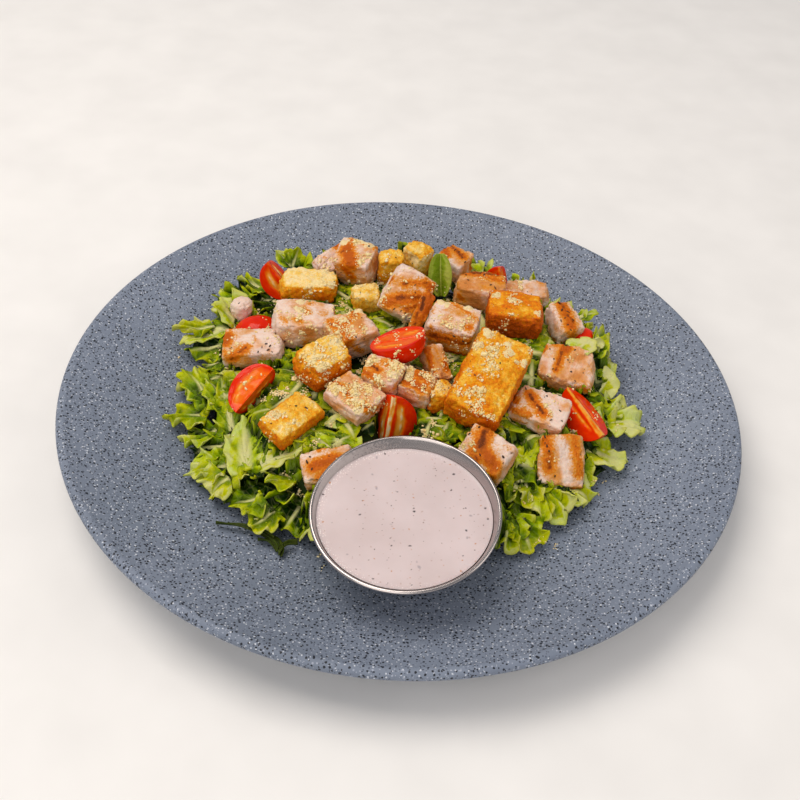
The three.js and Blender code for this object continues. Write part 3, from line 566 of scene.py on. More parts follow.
def edge_share(mesh, points, normals):
    """How much each point stands on an outer edge of its piece: 0 on flat faces, about 1 on the edges."""
    ends = np.empty(2 * len(mesh.edges), np.int32)
    mesh.edges.foreach_get("vertices", ends)
    ends = np.concatenate([ends.reshape(-1, 2), ends.reshape(-1, 2)[:, ::-1]])
    count = np.bincount(ends[:, 0], minlength=len(points))
    mean = points
    for _ in range(EDGE_STEPS):
        sums = [np.bincount(ends[:, 0], mean[ends[:, 1], k], len(points)) for k in range(3)]
        mean = np.stack(sums, axis=1) / np.maximum(count, 1)[:, None]
    return np.clip(np.einsum("ij,ij->i", points - mean, normals) / EDGE_LIFT, -1, 1)


def near_crumbs(node, points):
    """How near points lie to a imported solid's crumbs of cheese: 1 on a crumb, 0 away from them."""
    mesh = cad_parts[node].data
    corners = points_of(mesh)[np.array([list(face.vertices) for face in mesh.polygons])]
    edges = np.linalg.norm(corners - np.roll(corners, 1, axis=1), axis=2).max(axis=1)
    small = corners[edges < CHEESE_EDGE].mean(axis=1)
    if len(small) == 0:
        return np.zeros(len(points))
    gap = np.min(np.linalg.norm(points[:, None] - small[None], axis=2), axis=1)
    return np.clip(1.6 - gap / (0.8 * MM), 0, 1)


def from_line(points, start, end):
    """Each point's distance from the line between two places."""
    q, reach = points - start, end - start
    t = np.clip(q @ reach / max(reach @ reach, 1e-12), 0, 1)
    return np.linalg.norm(q - t[:, None] * reach, axis=1)


def displace(mesh, points, normals, height):
    """Moves a mesh's points out along their normals."""
    mesh.vertices.foreach_set("co", (points + normals * height[:, None]).astype(np.float32).ravel())
    mesh.update()


def mottled(material, amount, texture, spread):
    """An amount made uneven by a texture, so a stain or a crust ends raggedly."""
    rough = add_node(material, "Math", {0: texture, 1: 0.5}, operation="SUBTRACT").outputs["Value"]
    added = add_node(material, "Math", {0: rough, 1: spread, 2: amount}, operation="MULTIPLY_ADD")
    return added.outputs["Value"]


def laid_over(material, colour, attribute, texture, spread, shades, low, high):
    """A colour with a stain or crumbs over it: an attribute gives the amount, which a texture makes uneven,
    and the cover is none up to the low amount and full from the high one."""
    amount = add_node(material, "Attribute", attribute_name=attribute).outputs["Fac"]
    uneven = mottled(material, amount, texture, spread)
    if not isinstance(shades, str):
        shades = add_node(material, "ValToRGB", {"Fac": uneven}, shades).outputs["Color"]
    cover = add_node(material, "ValToRGB", {"Fac": uneven}, [(low, 0.0), (high, 1.0)]).outputs["Color"]
    return add_node(material, "Mix", {0: cover, 6: colour, 7: shades}, data_type="RGBA").outputs[2]


# Cooked breast meat: a moist, softly shining, slightly see-through flesh, so its shades are warm. The
# fibres show as faint streaks; the sear goes from peach to orange brown, and bar marks to dark brown.
# The sear's shades also paint a warm shade on the cubes' sides and lower faces.
cooked_meat, place = new_material("grilled_chicken_breast")
fibres = add_node(cooked_meat, "Attribute", attribute_name="fibres").outputs["Vector"]
streaky = {"Vector": fibres, "Scale": 1.0, "Detail": 4, "Roughness": 0.65}
streaks = add_node(cooked_meat, "TexNoise", streaky).outputs["Fac"]
patches = add_node(cooked_meat, "TexNoise", {"Vector": place, "Scale": 240, "Detail": 4}).outputs["Fac"]
grit = add_node(cooked_meat, "TexNoise", {"Vector": place, "Scale": 1100, "Detail": 3, "Roughness": 0.7})
grit = grit.outputs["Fac"]
rosy = add_node(cooked_meat, "Attribute", attribute_name="rosy").outputs["Fac"]
flesh = add_node(
    cooked_meat,
    "ValToRGB",
    {"Fac": mottled(cooked_meat, rosy, patches, 1.9)},
    [(0.1, "#efd5c6"), (0.4, "#e8bb9b"), (0.65, "#dfa069"), (0.95, "#d08440")],
).outputs["Color"]
streak = add_node(cooked_meat, "ValToRGB", {"Fac": streaks}, [(0.3, 0.38), (0.5, 0.5), (0.72, 0.58)])
veil = {0: 0.7, 6: flesh, 7: streak.outputs["Color"]}
flesh = add_node(cooked_meat, "Mix", veil, data_type="RGBA", blend_type="OVERLAY").outputs[2]
seared = [(0.2, "#e0a35a"), (0.42, "#de8f24"), (0.65, "#d77004"), (0.95, "#bc5802")]
flesh = laid_over(cooked_meat, flesh, "browned", grit, 1.2, seared, 0.1, 0.42)
burnt = [(0.4, "#c46602"), (0.7, "#a64e02"), (1.0, "#6e3004")]
flesh = laid_over(cooked_meat, flesh, "charred", grit, 1.5, burnt, 0.25, 0.5)
flesh = laid_over(cooked_meat, flesh, "cheese", grit, 2.6, "#eed8a4", 0.62, 0.8)
relief = add_node(cooked_meat, "Bump", {"Height": streaks, "Distance": 0.7 * MM, "Strength": 0.8})
pores = {"Height": grit, "Distance": 0.6 * MM, "Strength": 0.7, "Normal": relief.outputs["Normal"]}
pores = add_node(cooked_meat, "Bump", pores)
shader = add_node(
    cooked_meat,
    "BsdfPrincipled",
    {
        "Base Color": flesh,
        "Roughness": 0.4,
        "IOR": 1.42,
        "Specular IOR Level": 0.22,
        "Subsurface Weight": 0.1,
        "Subsurface Radius": (1.0, 0.5, 0.25),
        "Subsurface Scale": MM,
        "Normal": pores.outputs["Normal"],
    },
)
add_node(cooked_meat, "OutputMaterial", {"Surface": shader.outputs["BSDF"]})

for number, (node, ((heading, rise), rosiness, marks)) in enumerate(CHICKEN.items()):
    rng = np.random.default_rng(100 + number)
    cube = even_skin(node, f"{node}_meat", MEAT_PITCH, 1)
    tree = tree_of([node])
    points, normals = points_of(cube.data), points_of(cube.data, "normal")
    turn = Matrix.Rotation(math.radians(heading), 3, "Z") @ Matrix.Rotation(math.radians(-rise), 3, "Y")
    grain = (points @ np.array(turn)) / (np.array([7.0, 0.9, 0.9]) * MM) + 5.3 * number
    cheese = near_crumbs(node, points)
    edge = edge_share(cube.data, points, normals)
    ridges = 0.16 * lumps(grain, 1.0, number) + 0.1 * lumps(grain * 0.6, 1.0, number + 50)
    ridges += 0.1 * lumps(points, 1.2 * MM, number + 90)
    dips = np.clip(lumps(points, 2.4 * MM, number) - 0.5, 0, 1)
    chips = np.clip(edge, 0, 1) * np.clip(lumps(points, 1.5 * MM, number + 70) - 0.1, 0, 1)
    facets = 0.55 * np.round(1.6 * lumps(points, 7.5 * MM, number + 30)) / 1.6
    facets = facets + 0.2 * lumps(points, 3 * MM, number)
    height = 0.25 + 0.35 * lumps(points, 6 * MM, number)
    height = height + 0.5 * facets + 1.4 * ridges - 0.9 * dips - 2.4 * chips
    displace(cube.data, points, normals, height * MM * (1 - 0.7 * cheese))
    browned = 0.5 * np.clip(lumps(points, 6 * MM, number + 7) - 0.18, 0, 1) + 0.1 * lumps(points, 2 * MM, 3)
    # Painted shade: sides and lower faces get more of the orange sear colour, standing in for warm light in
    # their shade.
    browned += 0.14 * np.clip(0.6 - normals[:, 2], 0, 1)
    rosy = 0.8 * rosiness + 0.35 * lumps(points, 5 * MM, number + 11) - 0.35 * np.clip(edge, 0, 1)
    charred = np.zeros(len(points))
    behind = points[normals[:, 1] > 0.5]
    hidden = [("brown", *behind[rng.integers(len(behind), size=2)], 1.1, 0.8) for _ in range(2)]
    seen = [(kind, place_seen(tree, *a), place_seen(tree, *b), *rest) for kind, a, b, *rest in marks]
    for kind, start, end, width, strength in [*seen, *hidden]:
        gap = from_line(points, start, end) / MM + 0.5 * lumps(points, 1.6 * MM, number + 5)
        gap = gap + 0.35 * lumps(points, 0.8 * MM, number + 6)
        near = strength * np.exp(-((gap / width / (0.7 if kind == "brown" else 1)) ** 2))
        wide = strength * np.exp(-((gap / (width + 1.6)) ** 2))
        if kind == "brown":
            charred = np.maximum(charred, near)
            browned = np.maximum(browned, 0.85 * wide)
        elif kind == "orange":
            browned = np.maximum(browned, 0.62 * near + 0.45 * wide)
        else:
            rosy += near * (0.5 if kind == "rosy" else -0.6)
            browned -= 0.3 * near * (kind == "pale")
    mark(cube.data, "fibres", grain)
    mark(cube.data, "rosy", rosy)
    mark(cube.data, "browned", browned)
    mark(cube.data, "charred", charred)
    mark(cube.data, "cheese", cheese)
    cube.data.materials.append(cooked_meat)
    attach(cube, "root")
    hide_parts(node)

# ------------------------------------------------------------------------------- the croutons
# Cubes of white bread fried in butter until golden: rough open crumb, darker and harder at the edges, and
# oily enough to hold herbs and grated parmesan. Their sides are darker than their tops and darker still
# towards the bottom: partly real toasting, partly painted shade.
CRUMB_PITCH = 0.5 * MM
# Each crouton: how dark its top is and how dark its sides are, from 0, pale crumb, to 1, dark, as real
# toasting and painted shade together.
CROUTONS = {
    "crouton_01": (0.08, 0.5), "crouton_02": (0.24, 0.62), "crouton_03": (0.32, 0.54),
    "crouton_04": (0.44, 0.6), "crouton_05": (0.56, 0.84), "crouton_06": (0.3, 0.4),
    "crouton_07": (0.3, 0.14), "crouton_08": (0.34, 0.56), "crouton_09": (0.1, 0.26),
}  # fmt: skip

# Fried bread: the pale crumb browns from cream through gold to orange brown. It is dry and matt, with a
# little fat that glints on the high spots.
fried_bread, place = new_material("butter_fried_bread")
toast = add_node(fried_bread, "Attribute", attribute_name="toasted").outputs["Fac"]
coarse = {"Vector": place, "Scale": 520, "Detail": 4, "Roughness": 0.75}
coarse = add_node(fried_bread, "TexNoise", coarse).outputs["Fac"]
toast = mottled(fried_bread, toast, coarse, 1.0)
pale_to_gold = [(0.02, "#fbe2a6"), (0.24, "#f7c850"), (0.44, "#f0a414")]
orange_to_brown = [(0.62, "#e68200"), (0.82, "#d96400"), (1.0, "#b44a00")]
crust = add_node(fried_bread, "ValToRGB", {"Fac": toast}, pale_to_gold + orange_to_brown).outputs["Color"]
fine = {"Vector": place, "Scale": 1700, "Detail": 2, "Roughness": 0.7}
fine = add_node(fried_bread, "TexNoise", fine).outputs["Fac"]
pores = add_node(fried_bread, "ValToRGB", {"Fac": fine}, [(0.3, 0.3), (0.5, 0.5), (0.7, 0.62)])
veil = {0: 0.9, 6: crust, 7: pores.outputs["Color"]}
crust = add_node(fried_bread, "Mix", veil, data_type="RGBA", blend_type="OVERLAY").outputs[2]
herbs = specks(fried_bread, place, 3.4, 0.22, 0.04, 0.1)
crust = add_node(fried_bread, "Mix", {0: herbs, 6: crust, 7: "#6b4a14"}, data_type="RGBA").outputs[2]
crust = laid_over(fried_bread, crust, "cheese", fine, 2.6, "#f0dca6", 0.62, 0.8)
rough = add_node(fried_bread, "Bump", {"Height": coarse, "Distance": 1.2 * MM, "Strength": 0.7})
relief = {"Height": fine, "Distance": 0.5 * MM, "Strength": 0.8, "Normal": rough.outputs["Normal"]}
relief = add_node(fried_bread, "Bump", relief)
shader = add_node(
    fried_bread,
    "BsdfPrincipled",
    {
        "Base Color": crust,
        "Roughness": 0.5,
        "IOR": 1.45,
        "Specular IOR Level": 0.2,
        "Subsurface Weight": 0.06,
        "Subsurface Radius": (1.0, 0.4, 0.1),
        "Subsurface Scale": MM,
        "Normal": relief.outputs["Normal"],
    },
)
add_node(fried_bread, "OutputMaterial", {"Surface": shader.outputs["BSDF"]})

for number, (node, (top, sides)) in enumerate(CROUTONS.items()):
    cube = even_skin(node, f"{node}_bread", CRUMB_PITCH, 2)
    points, normals = points_of(cube.data), points_of(cube.data, "normal")
    cheese = near_crumbs(node, points)
    edge = np.clip(edge_share(cube.data, points, normals), 0, 1)
    bubbles = 0.28 * lumps(points, 2.4 * MM, number) + 0.42 * lumps(points, 1.2 * MM, number + 20)
    pits = np.clip(lumps(points, 1.7 * MM, number + 40) - 0.35, 0, 1)
    height = 0.2 + 0.5 * lumps(points, 7 * MM, number + 60) + bubbles - 1.2 * pits - 0.35 * edge
    displace(cube.data, points, normals, height * MM * (1 - 0.6 * cheese))
    low, high = points.min(axis=0), points.max(axis=0)
    # Painted light and shade: upward faces take the paler top tone, and the sides darken towards the bottom.
    upward = np.clip((normals[:, 2] - 0.35) / 0.4, 0, 1)
    down = np.clip(1.2 - (points[:, 2] - low[2]) / (high[2] - low[2]) * 1.2, 0, 1)
    toasted = sides + 0.3 * (down - 0.35) * (1 - upward)
    toasted = toasted * (1 - upward) + (top + 0.12 * lumps(points, 6 * MM, number)) * upward
    toasted += 0.14 * lumps(points, 3 * MM, number + 80) + 0.12 * edge - 0.3 * pits
    mark(cube.data, "toasted", toasted)
    mark(cube.data, "cheese", cheese)
    cube.data.materials.append(fried_bread)
    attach(cube, "root")
    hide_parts(node)

# ------------------------------------------------------------------------------- the cherry tomatoes
# Ripe cherry tomatoes cut lengthwise in halves and quarters: a tight shining skin, a firm red wall of
# flesh, pockets of wet jelly with seeds, and a pale core that shows along the cut edge of a quarter.
ALONG_STEPS, ROUND_STEPS, CUT_STEPS = 64, 40, 34
# Each: where the middle of its core lies, its length and radius in millimetres, whether it is a quarter,
# the ways its cut and its length look; then how large its pockets are, how amber they are, how wide its
# core is at the stem, and how pale.
TOMATOES = {
    "tomato_01": ((-57.6, 55, 33), 20, 9.5, True, (-0.04, -0.96, 0.28), (-0.63, 0.24, 0.74),
                  0.4, 0.9, 1.2, 0.5),
    "tomato_02": ((-65, 31.4, 18.5), 21, 9.5, False, (0, 0.2, -1), (1, 0.1, 0),
                  0.5, 0.5, 1.5, 0.6),
    "tomato_03": ((-58.6, -19.3, 33), 23, 10.5, True, (-0.21, -0.51, 0.84), (0.58, 0.62, 0.52),
                  0.75, 0.45, 0.0, 0.5),
    "tomato_04": ((-3.4, 2.5, 47), 23, 10.5, False, (-0.35, 0.25, 0.9), (1, -0.1, 0.3),
                  0.8, 0.3, 0.0, 0.6),
    "tomato_05": ((-4.5, -31.4, 30), 25, 12.5, True, (-0.89, -0.38, 0.24), (0.1, 0.35, 0.93),
                  0.3, 1.1, 1.8, 0.92),
    "tomato_06": ((73.6, -15.7, 32), 26, 10.5, True, (0.54, 0.17, 0.82), (0.5, -0.85, -0.15),
                  -0.2, 0.5, 2.0, 0.78),
    "tomato_07": ((40.7, 58.4, 33), 22, 9, True, (-0.39, -0.89, 0.23), (-0.1, 0.29, 0.95),
                  0.6, 0.7, 1.0, 0.6),
    "tomato_08": ((77, 35.5, 26), 13, 5.5, False, (0, 0.2, -1), (0.5, 1, 0),
                  0.5, 0.5, 1.0, 0.6),
}  # fmt: skip


def facing(up, along):
    """The turn that points a piece's z along up, and its x as nearly along as that allows."""
    z = Vector(up).normalized()
    x = Vector(along)
    x = (x - x.dot(z) * z).normalized()
    return np.array([x, z.cross(x), z]).T


def piece_from_arrays(name, points, faces):
    """A mesh piece from its points in metres and its faces, which all have the same number of corners."""
    mesh = bpy.data.meshes.new(name)
    mesh.vertices.add(len(points))
    mesh.vertices.foreach_set("co", np.asarray(points, np.float32).ravel())
    mesh.loops.add(faces.size)
    mesh.loops.foreach_set("vertex_index", faces.astype(np.int32).ravel())
    mesh.polygons.add(len(faces))
    mesh.polygons.foreach_set("loop_start", np.arange(0, faces.size, faces.shape[1], dtype=np.int32))
    mesh.update(calc_edges=True)
    piece = bpy.data.objects.new(name, mesh)
    bpy.context.collection.objects.link(piece)
    return piece


def grid_faces(rows, columns, start=0):
    """The quads of a grid of points, laid row by row."""
    first = start + (np.arange(rows - 1)[:, None] * columns + np.arange(columns - 1)).ravel()
    return np.stack([first, first + 1, first + columns + 1, first + columns], axis=1)


def between(values, low, high, ease):
    """1 where values lie between two limits, fading to 0 over ease beyond them."""
    return np.clip((values - low) / ease + 0.5, 0, 1) * np.clip((high - values) / ease + 0.5, 0, 1)


def tomato_arrays(length, radius, quarter, pocket_size, amber, core_width, core_pale, rng):
    """Points, faces and flesh values of a cut tomato: 0 is skin, 0.1 to 0.4 wall, 0.6 jelly, and 1 core
    and seeds."""
    along, outward = np.linspace(0, 1, ALONG_STEPS)[:, None], np.linspace(0, 1, CUT_STEPS)
    body = np.sin(np.pi * along) ** 0.9
    core_line = 0.5 * length * np.cos(np.pi * along)
    first, last = (1.5 * np.pi if quarter else np.pi), 2 * np.pi
    turn = np.linspace(first, last, ROUND_STEPS)
    x = np.repeat(core_line, ROUND_STEPS, axis=1)
    skin = np.stack([x, radius * body * np.cos(turn), radius * body * np.sin(turn)], axis=2)
    points, flesh, faces = [skin.reshape(-1, 3)], [np.zeros(x.size)], [grid_faces(ALONG_STEPS, ROUND_STEPS)]
    out = outward * radius * body  # distance from the core line, in millimetres
    core = np.clip((core_width * (1 - 0.75 * along) - out) / 0.7 + 0.5, 0, 1)
    for side, angle in enumerate((first, last)):
        x = np.repeat(core_line, CUT_STEPS, axis=1)
        flat = np.stack([x, out * math.cos(angle), out * math.sin(angle)], axis=2)
        sway, blots, waves, crumbling = (
            lumps(flat.reshape(-1, 3), size, seed + side).reshape(x.shape)
            for size, seed in ((4, 7), (1.8, 0), (5, 4), (1.3, 9))
        )
        pocket = between(outward + 0.05 * sway, 0.26 if core_width else 0.04, 0.46 + 0.34 * pocket_size, 0.1)
        pocket *= between(along + 0.05 * sway, 0.3 - 0.12 * pocket_size, 0.7 + 0.14 * pocket_size, 0.12)
        seed = np.zeros(x.shape)
        for seed_along, seed_out in rng.uniform([0.28, 0.34], [0.76, 0.4 + 0.28 * pocket_size], size=(4, 2)):
            gap = ((along - seed_along) * length / 1.25) ** 2
            gap = gap + ((outward - seed_out) * radius * body / 0.65) ** 2
            seed = np.maximum(seed, np.exp(-gap))
        depth = 0.5 * pocket - 0.4 * seed * pocket + (0.06 * blots + 0.12 * waves)
        depth *= np.clip((1 - outward) / 0.06, 0, 1) * np.clip(outward / 0.06, 0, 1)
        inward = np.array([0, -math.sin(angle), math.cos(angle)]) * (1 if side == 0 else -1)
        wall = 0.12 + 0.16 * np.clip((0.97 - outward) / 0.2, 0, 1) + 0.06 * amber
        value = wall + pocket * (0.12 + 0.22 * amber) + 0.24 * seed * pocket
        ragged_core = np.clip(core + 0.5 * crumbling * (core > 0), 0, 1)
        faces.append(grid_faces(ALONG_STEPS, CUT_STEPS, sum(len(p) for p in points)))
        points.append((flat + depth[:, :, None] * inward).reshape(-1, 3))
        flesh.append((value + (core_pale - value) * ragged_core).ravel())
    return np.concatenate(points), np.concatenate(faces), np.concatenate(flesh)


# Ripe tomato: a glossy tight skin over flesh that light enters, so shaded red stays warm. On the cut
# faces the wall is red, the jelly amber and wet, and the core and seeds pale.
ripe_tomato, place = new_material("ripe_tomato")
value = add_node(ripe_tomato, "Attribute", attribute_name="flesh").outputs["Fac"]
blush = add_node(ripe_tomato, "TexNoise", {"Vector": place, "Scale": 120, "Detail": 2}).outputs["Fac"]
skin = add_node(ripe_tomato, "ValToRGB", {"Fac": blush}, [(0.3, "#d61600"), (0.7, "#e82e00")])
pulp = add_node(ripe_tomato, "TexNoise", {"Vector": place, "Scale": 500, "Detail": 3}).outputs["Fac"]
wall_shades = [(0.08, "#da1c00"), (0.33, "#e42e00"), (0.47, "#ec5806")]
jelly_and_core = [(0.6, "#ee7c12"), (0.78, "#f2ac40"), (0.98, "#f9e6c0")]
uneven = mottled(ripe_tomato, value, pulp, 0.25)
cut = add_node(ripe_tomato, "ValToRGB", {"Fac": uneven}, wall_shades + jelly_and_core)
is_cut = add_node(ripe_tomato, "ValToRGB", {"Fac": value}, [(0.03, 0.0), (0.09, 1.0)])
faces = {0: is_cut.outputs["Color"], 6: skin.outputs["Color"], 7: cut.outputs["Color"]}
tint = add_node(ripe_tomato, "Mix", faces, data_type="RGBA").outputs[2]
relief = add_node(ripe_tomato, "Bump", {"Height": pulp, "Distance": 0.2 * MM, "Strength": 0.12})
shader = add_node(
    ripe_tomato,
    "BsdfPrincipled",
    {
        "Base Color": tint,
        "Roughness": 0.12,
        "IOR": 1.4,
        "Specular IOR Level": 0.3,
        "Subsurface Weight": 0.18,
        "Subsurface Radius": (1.0, 0.15, 0.04),
        "Subsurface Scale": 2 * MM,
        "Normal": relief.outputs["Normal"],
    },
)
add_node(ripe_tomato, "OutputMaterial", {"Surface": shader.outputs["BSDF"]})

for number, (node, (at, length, radius, quarter, up, along, *inside)) in enumerate(TOMATOES.items()):
    rng = np.random.default_rng(number + 30)
    points, faces, flesh = tomato_arrays(length, radius, quarter, *inside, rng)
    points = points + 0.3 * points / radius * lumps(points, 9, number)[:, None]
    tomato = piece_from_arrays(f"{node}_cut", (points @ facing(up, along).T + at) * MM, faces)
    mark(tomato.data, "flesh", flesh)
    open_mesh(tomato)
    bpy.ops.mesh.remove_doubles(threshold=0.02 * MM)
    bpy.ops.mesh.normals_make_consistent(inside=False)
    bpy.ops.object.mode_set(mode="OBJECT")
    bpy.ops.object.shade_smooth_by_angle(angle=math.radians(55))
    tomato.data.materials.append(ripe_tomato)
    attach(tomato, "root")
    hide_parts(node)

# ------------------------------------------------------------------------------- the lettuce
# Green leaf lettuce torn by hand and heaped over the middle of the plate: frilly fan-shaped pieces of
# leaf, pale crisp pieces of rib, and a dark packed bed below that the toppings lie on.
HEAP_MIDDLE = (0.0, 5.0)
HEAP_RADII = (94.0, 85.0)
HEAP_REACH = [1.06, 1.08, 1.08, 1.02, 1.12, 1.13, 1.0, 1.03, 1.06, 0.99, 1.03, 1.01, 1.06]  # every 30 degrees
SEEN_MIDDLE = (400, 390)  # a pixel in the heap's middle, and the heap's reach round it, every 15 degrees
SEEN_REACH = [
    220, 208, 184, 163, 150, 144, 148, 158, 160, 184, 200, 232, 220, 217, 215, 205, 175, 165, 160, 165, 180,
    208, 215, 238, 220,
]  # fmt: skip
BED_PART = 0.85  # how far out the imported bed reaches, as a part of the heap's reach
PLATE_UPPER = [(0, 6.5), *PLATE_PROFILE[-2:-8:-1]]  # the plate's upper surface, from its middle to its lip
# The cup's outside, a little oversize: heights over its base and the radii there, in millimetres.
CUP_OUTSIDE = [(-2, 17.5), (0, 17.5), (1, 18.6), (9.5, 24.8), (18.3, 30.6), (23.4, 33.8), (25, 35)]
CUP_ROOM = 0.3  # how far leaves stay off the cup, in millimetres
PRESSES, PRESS = 10, 1.5  # how often a leaf may be pressed down, and how far each time
LIFT_MOST = 7  # how deep behind a topping's front a leaf may lie and still be drawn out over it
LEAF_HALF = 0.2  # half the thickness of a leaf, in millimetres


def plate_level(x, y):
    """Height of the plate's upper surface, in millimetres."""
    return np.interp(np.hypot(x, y), *zip(*PLATE_UPPER))


def heap_reach(angle):
    """How far the heap reaches at an angle, as a part of its radii, with a slight wave round its edge."""
    return np.interp(angle / (2 * np.pi) * 12, range(13), HEAP_REACH) + 0.025 * np.sin(7 * angle + 0.6)


def heap_part(x, y):
    """How far out a place is, as a part of the heap's reach that way."""
    across, along = (x - HEAP_MIDDLE[0]) / HEAP_RADII[0], (y - HEAP_MIDDLE[1]) / HEAP_RADII[1]
    return np.hypot(across, along) / heap_reach(np.arctan2(along, across) % (2 * np.pi))


def bed_top(x, y):
    """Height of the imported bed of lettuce, in millimetres."""
    part = heap_part(x, y) / BED_PART
    thick = 6 + 20 * np.sqrt(np.clip(1 - part**2.4, 0, 1)) - 28 * np.clip(part - 1, 0, 0.19)
    return plate_level(x, y) + thick


toppings = [*CHICKEN, *CROUTONS, *TOMATOES]
toppings_tree = tree_of([*toppings, "spinach_leaf"])
in_view_tree = tree_of([*toppings, "spinach_leaf", "sauce_cup"])

# Where toppings hide the bed from above, their lowest level there; and where the diner sees toppings or
# the cup, how far off they are. Leaves stay under the first and behind the second.
CELL, HALF_FIELD = 1.5, 112
cells = np.arange(-HALF_FIELD, HALF_FIELD, CELL)
ceiling = np.full((len(cells), len(cells)), np.inf)
for i, x in enumerate(cells):
    for j, y in enumerate(cells):
        hit = toppings_tree.ray_cast(Vector((x, y, 0)) * MM, Vector((0, 0, 1)))[0]
        if hit is not None:
            ceiling[i, j] = hit.z / MM
SHOWN_STEP = 2
SHOWN_X, SHOWN_Y = range(140, 680, SHOWN_STEP), range(210, 610, SHOWN_STEP)  # pixels that take in the salad
SHOWN_EASE = 1.2 * MM  # how far in front of a topping a leaf may lie


def distances_seen(tree):
    """How far off the diner sees a search tree's pieces at each of those pixels, or minus infinity where
    none shows."""
    distances = np.full((len(SHOWN_X), len(SHOWN_Y)), -np.inf)
    for i, x in enumerate(SHOWN_X):
        for j, y in enumerate(SHOWN_Y):
            distance = tree.ray_cast(camera.location, line_of_sight(x, y))[3]
            if distance is not None:
                distances[i, j] = distance
    return distances


shown = distances_seen(in_view_tree)


def seen_at(points):
    """The pixels where points in metres show, across and down."""
    local = (np.asarray(points) - EYE) @ VIEW_AXES
    across, up = (FOCAL * local[:, axis] / -local[:, 2] for axis in (0, 1))
    return np.stack([FRAME_PIXELS / 2 + across, FRAME_PIXELS / 2 - up], axis=1)


def shown_at(points):
    """How far off, in metres, toppings or the cup are where points in millimetres show."""
    seen = seen_at(points * MM)
    i = ((seen[:, 0] - SHOWN_X[0]) / SHOWN_STEP).astype(int).clip(0, len(SHOWN_X) - 1)
    j = ((seen[:, 1] - SHOWN_Y[0]) / SHOWN_STEP).astype(int).clip(0, len(SHOWN_Y) - 1)
    return shown[i, j]


def in_front(points):
    """Which points would hide a topping or the cup from the diner."""
    return np.linalg.norm(points * MM - EYE, axis=1) < shown_at(points) - SHOWN_EASE


def past_outline(points):
    """Which points the diner would see outside the heap's outline."""
    across, down = (seen_at(points * MM) - SEEN_MIDDLE).T
    angle = np.arctan2(-down, across) % (2 * np.pi)
    return np.hypot(across, down) > np.interp(angle / (2 * np.pi) * 24, range(25), SEEN_REACH)


def lift_over(points):
    """Draws the parts of a leaf that a topping just hides from the diner out in front of the topping."""
    ways = points - EYE / MM
    away = np.linalg.norm(ways, axis=1)
    behind = away - shown_at(points) / MM + 1
    behind = np.where((behind > 0) & (behind < LIFT_MOST), behind, 0)
    return points - ways * (behind / away)[:, None]


def place_over_plate(x, y, over):
    """The place seen at a pixel that lies a given height over the plate, in millimetres."""
    way, z = np.array(line_of_sight(x, y)), 12.0
    for _ in range(8):
        spot = EYE / MM + way * (z - EYE[2] / MM) / way[2]
        z = float(plate_level(spot[0], spot[1])) + over
    return spot


cup_axes = np.array(cup_turn.to_3x3())


def settle(points, rest=0.5):
    """Moves points up out of the plate, down out of the toppings, and out of the cup."""
    floor = plate_level(points[:, 0], points[:, 1]) + rest
    above = np.clip((points[:, 2] - floor) / 1.2, -20, 20)
    points[:, 2] = floor + 1.2 * np.log1p(np.exp(above))
    i, j = (((points[:, k] + HALF_FIELD) / CELL + 0.5).astype(int).clip(0, len(cells) - 1) for k in (0, 1))
    points[:, 2] = np.maximum(np.minimum(points[:, 2], ceiling[i, j] - 0.4), floor)
    local = (points - np.array(CUP_PLACE) / MM) @ cup_axes
    wall = np.interp(local[:, 2], *zip(*CUP_OUTSIDE)) + CUP_ROOM
    away = np.hypot(local[:, 0], local[:, 1])
    inside = (local[:, 2] > -2) & (away < wall)
    local[inside, :2] *= (wall[inside] / np.maximum(away[inside], 1))[:, None]
    return local @ cup_axes.T + np.array(CUP_PLACE) / MM


def press_down(points, rows, columns):
    """Presses a leaf down where it would hide a topping from the diner, softly so that it stays whole."""
    drop = np.zeros((rows, columns))
    for _ in range(PRESSES):
        hiding = in_front(settle(points - drop.reshape(-1, 1) * (0, 0, 1))).reshape(rows, columns)
        if not hiding.any():
            break
        drop += PRESS * hiding
        near = np.pad(drop, 1, mode="edge")
        around = (near[:-2, 1:-1] + near[2:, 1:-1] + near[1:-1, :-2] + near[1:-1, 2:]) / 4
        drop = np.maximum(drop, 0.9 * around)
    return settle(points - drop.reshape(-1, 1) * (0, 0, 1))


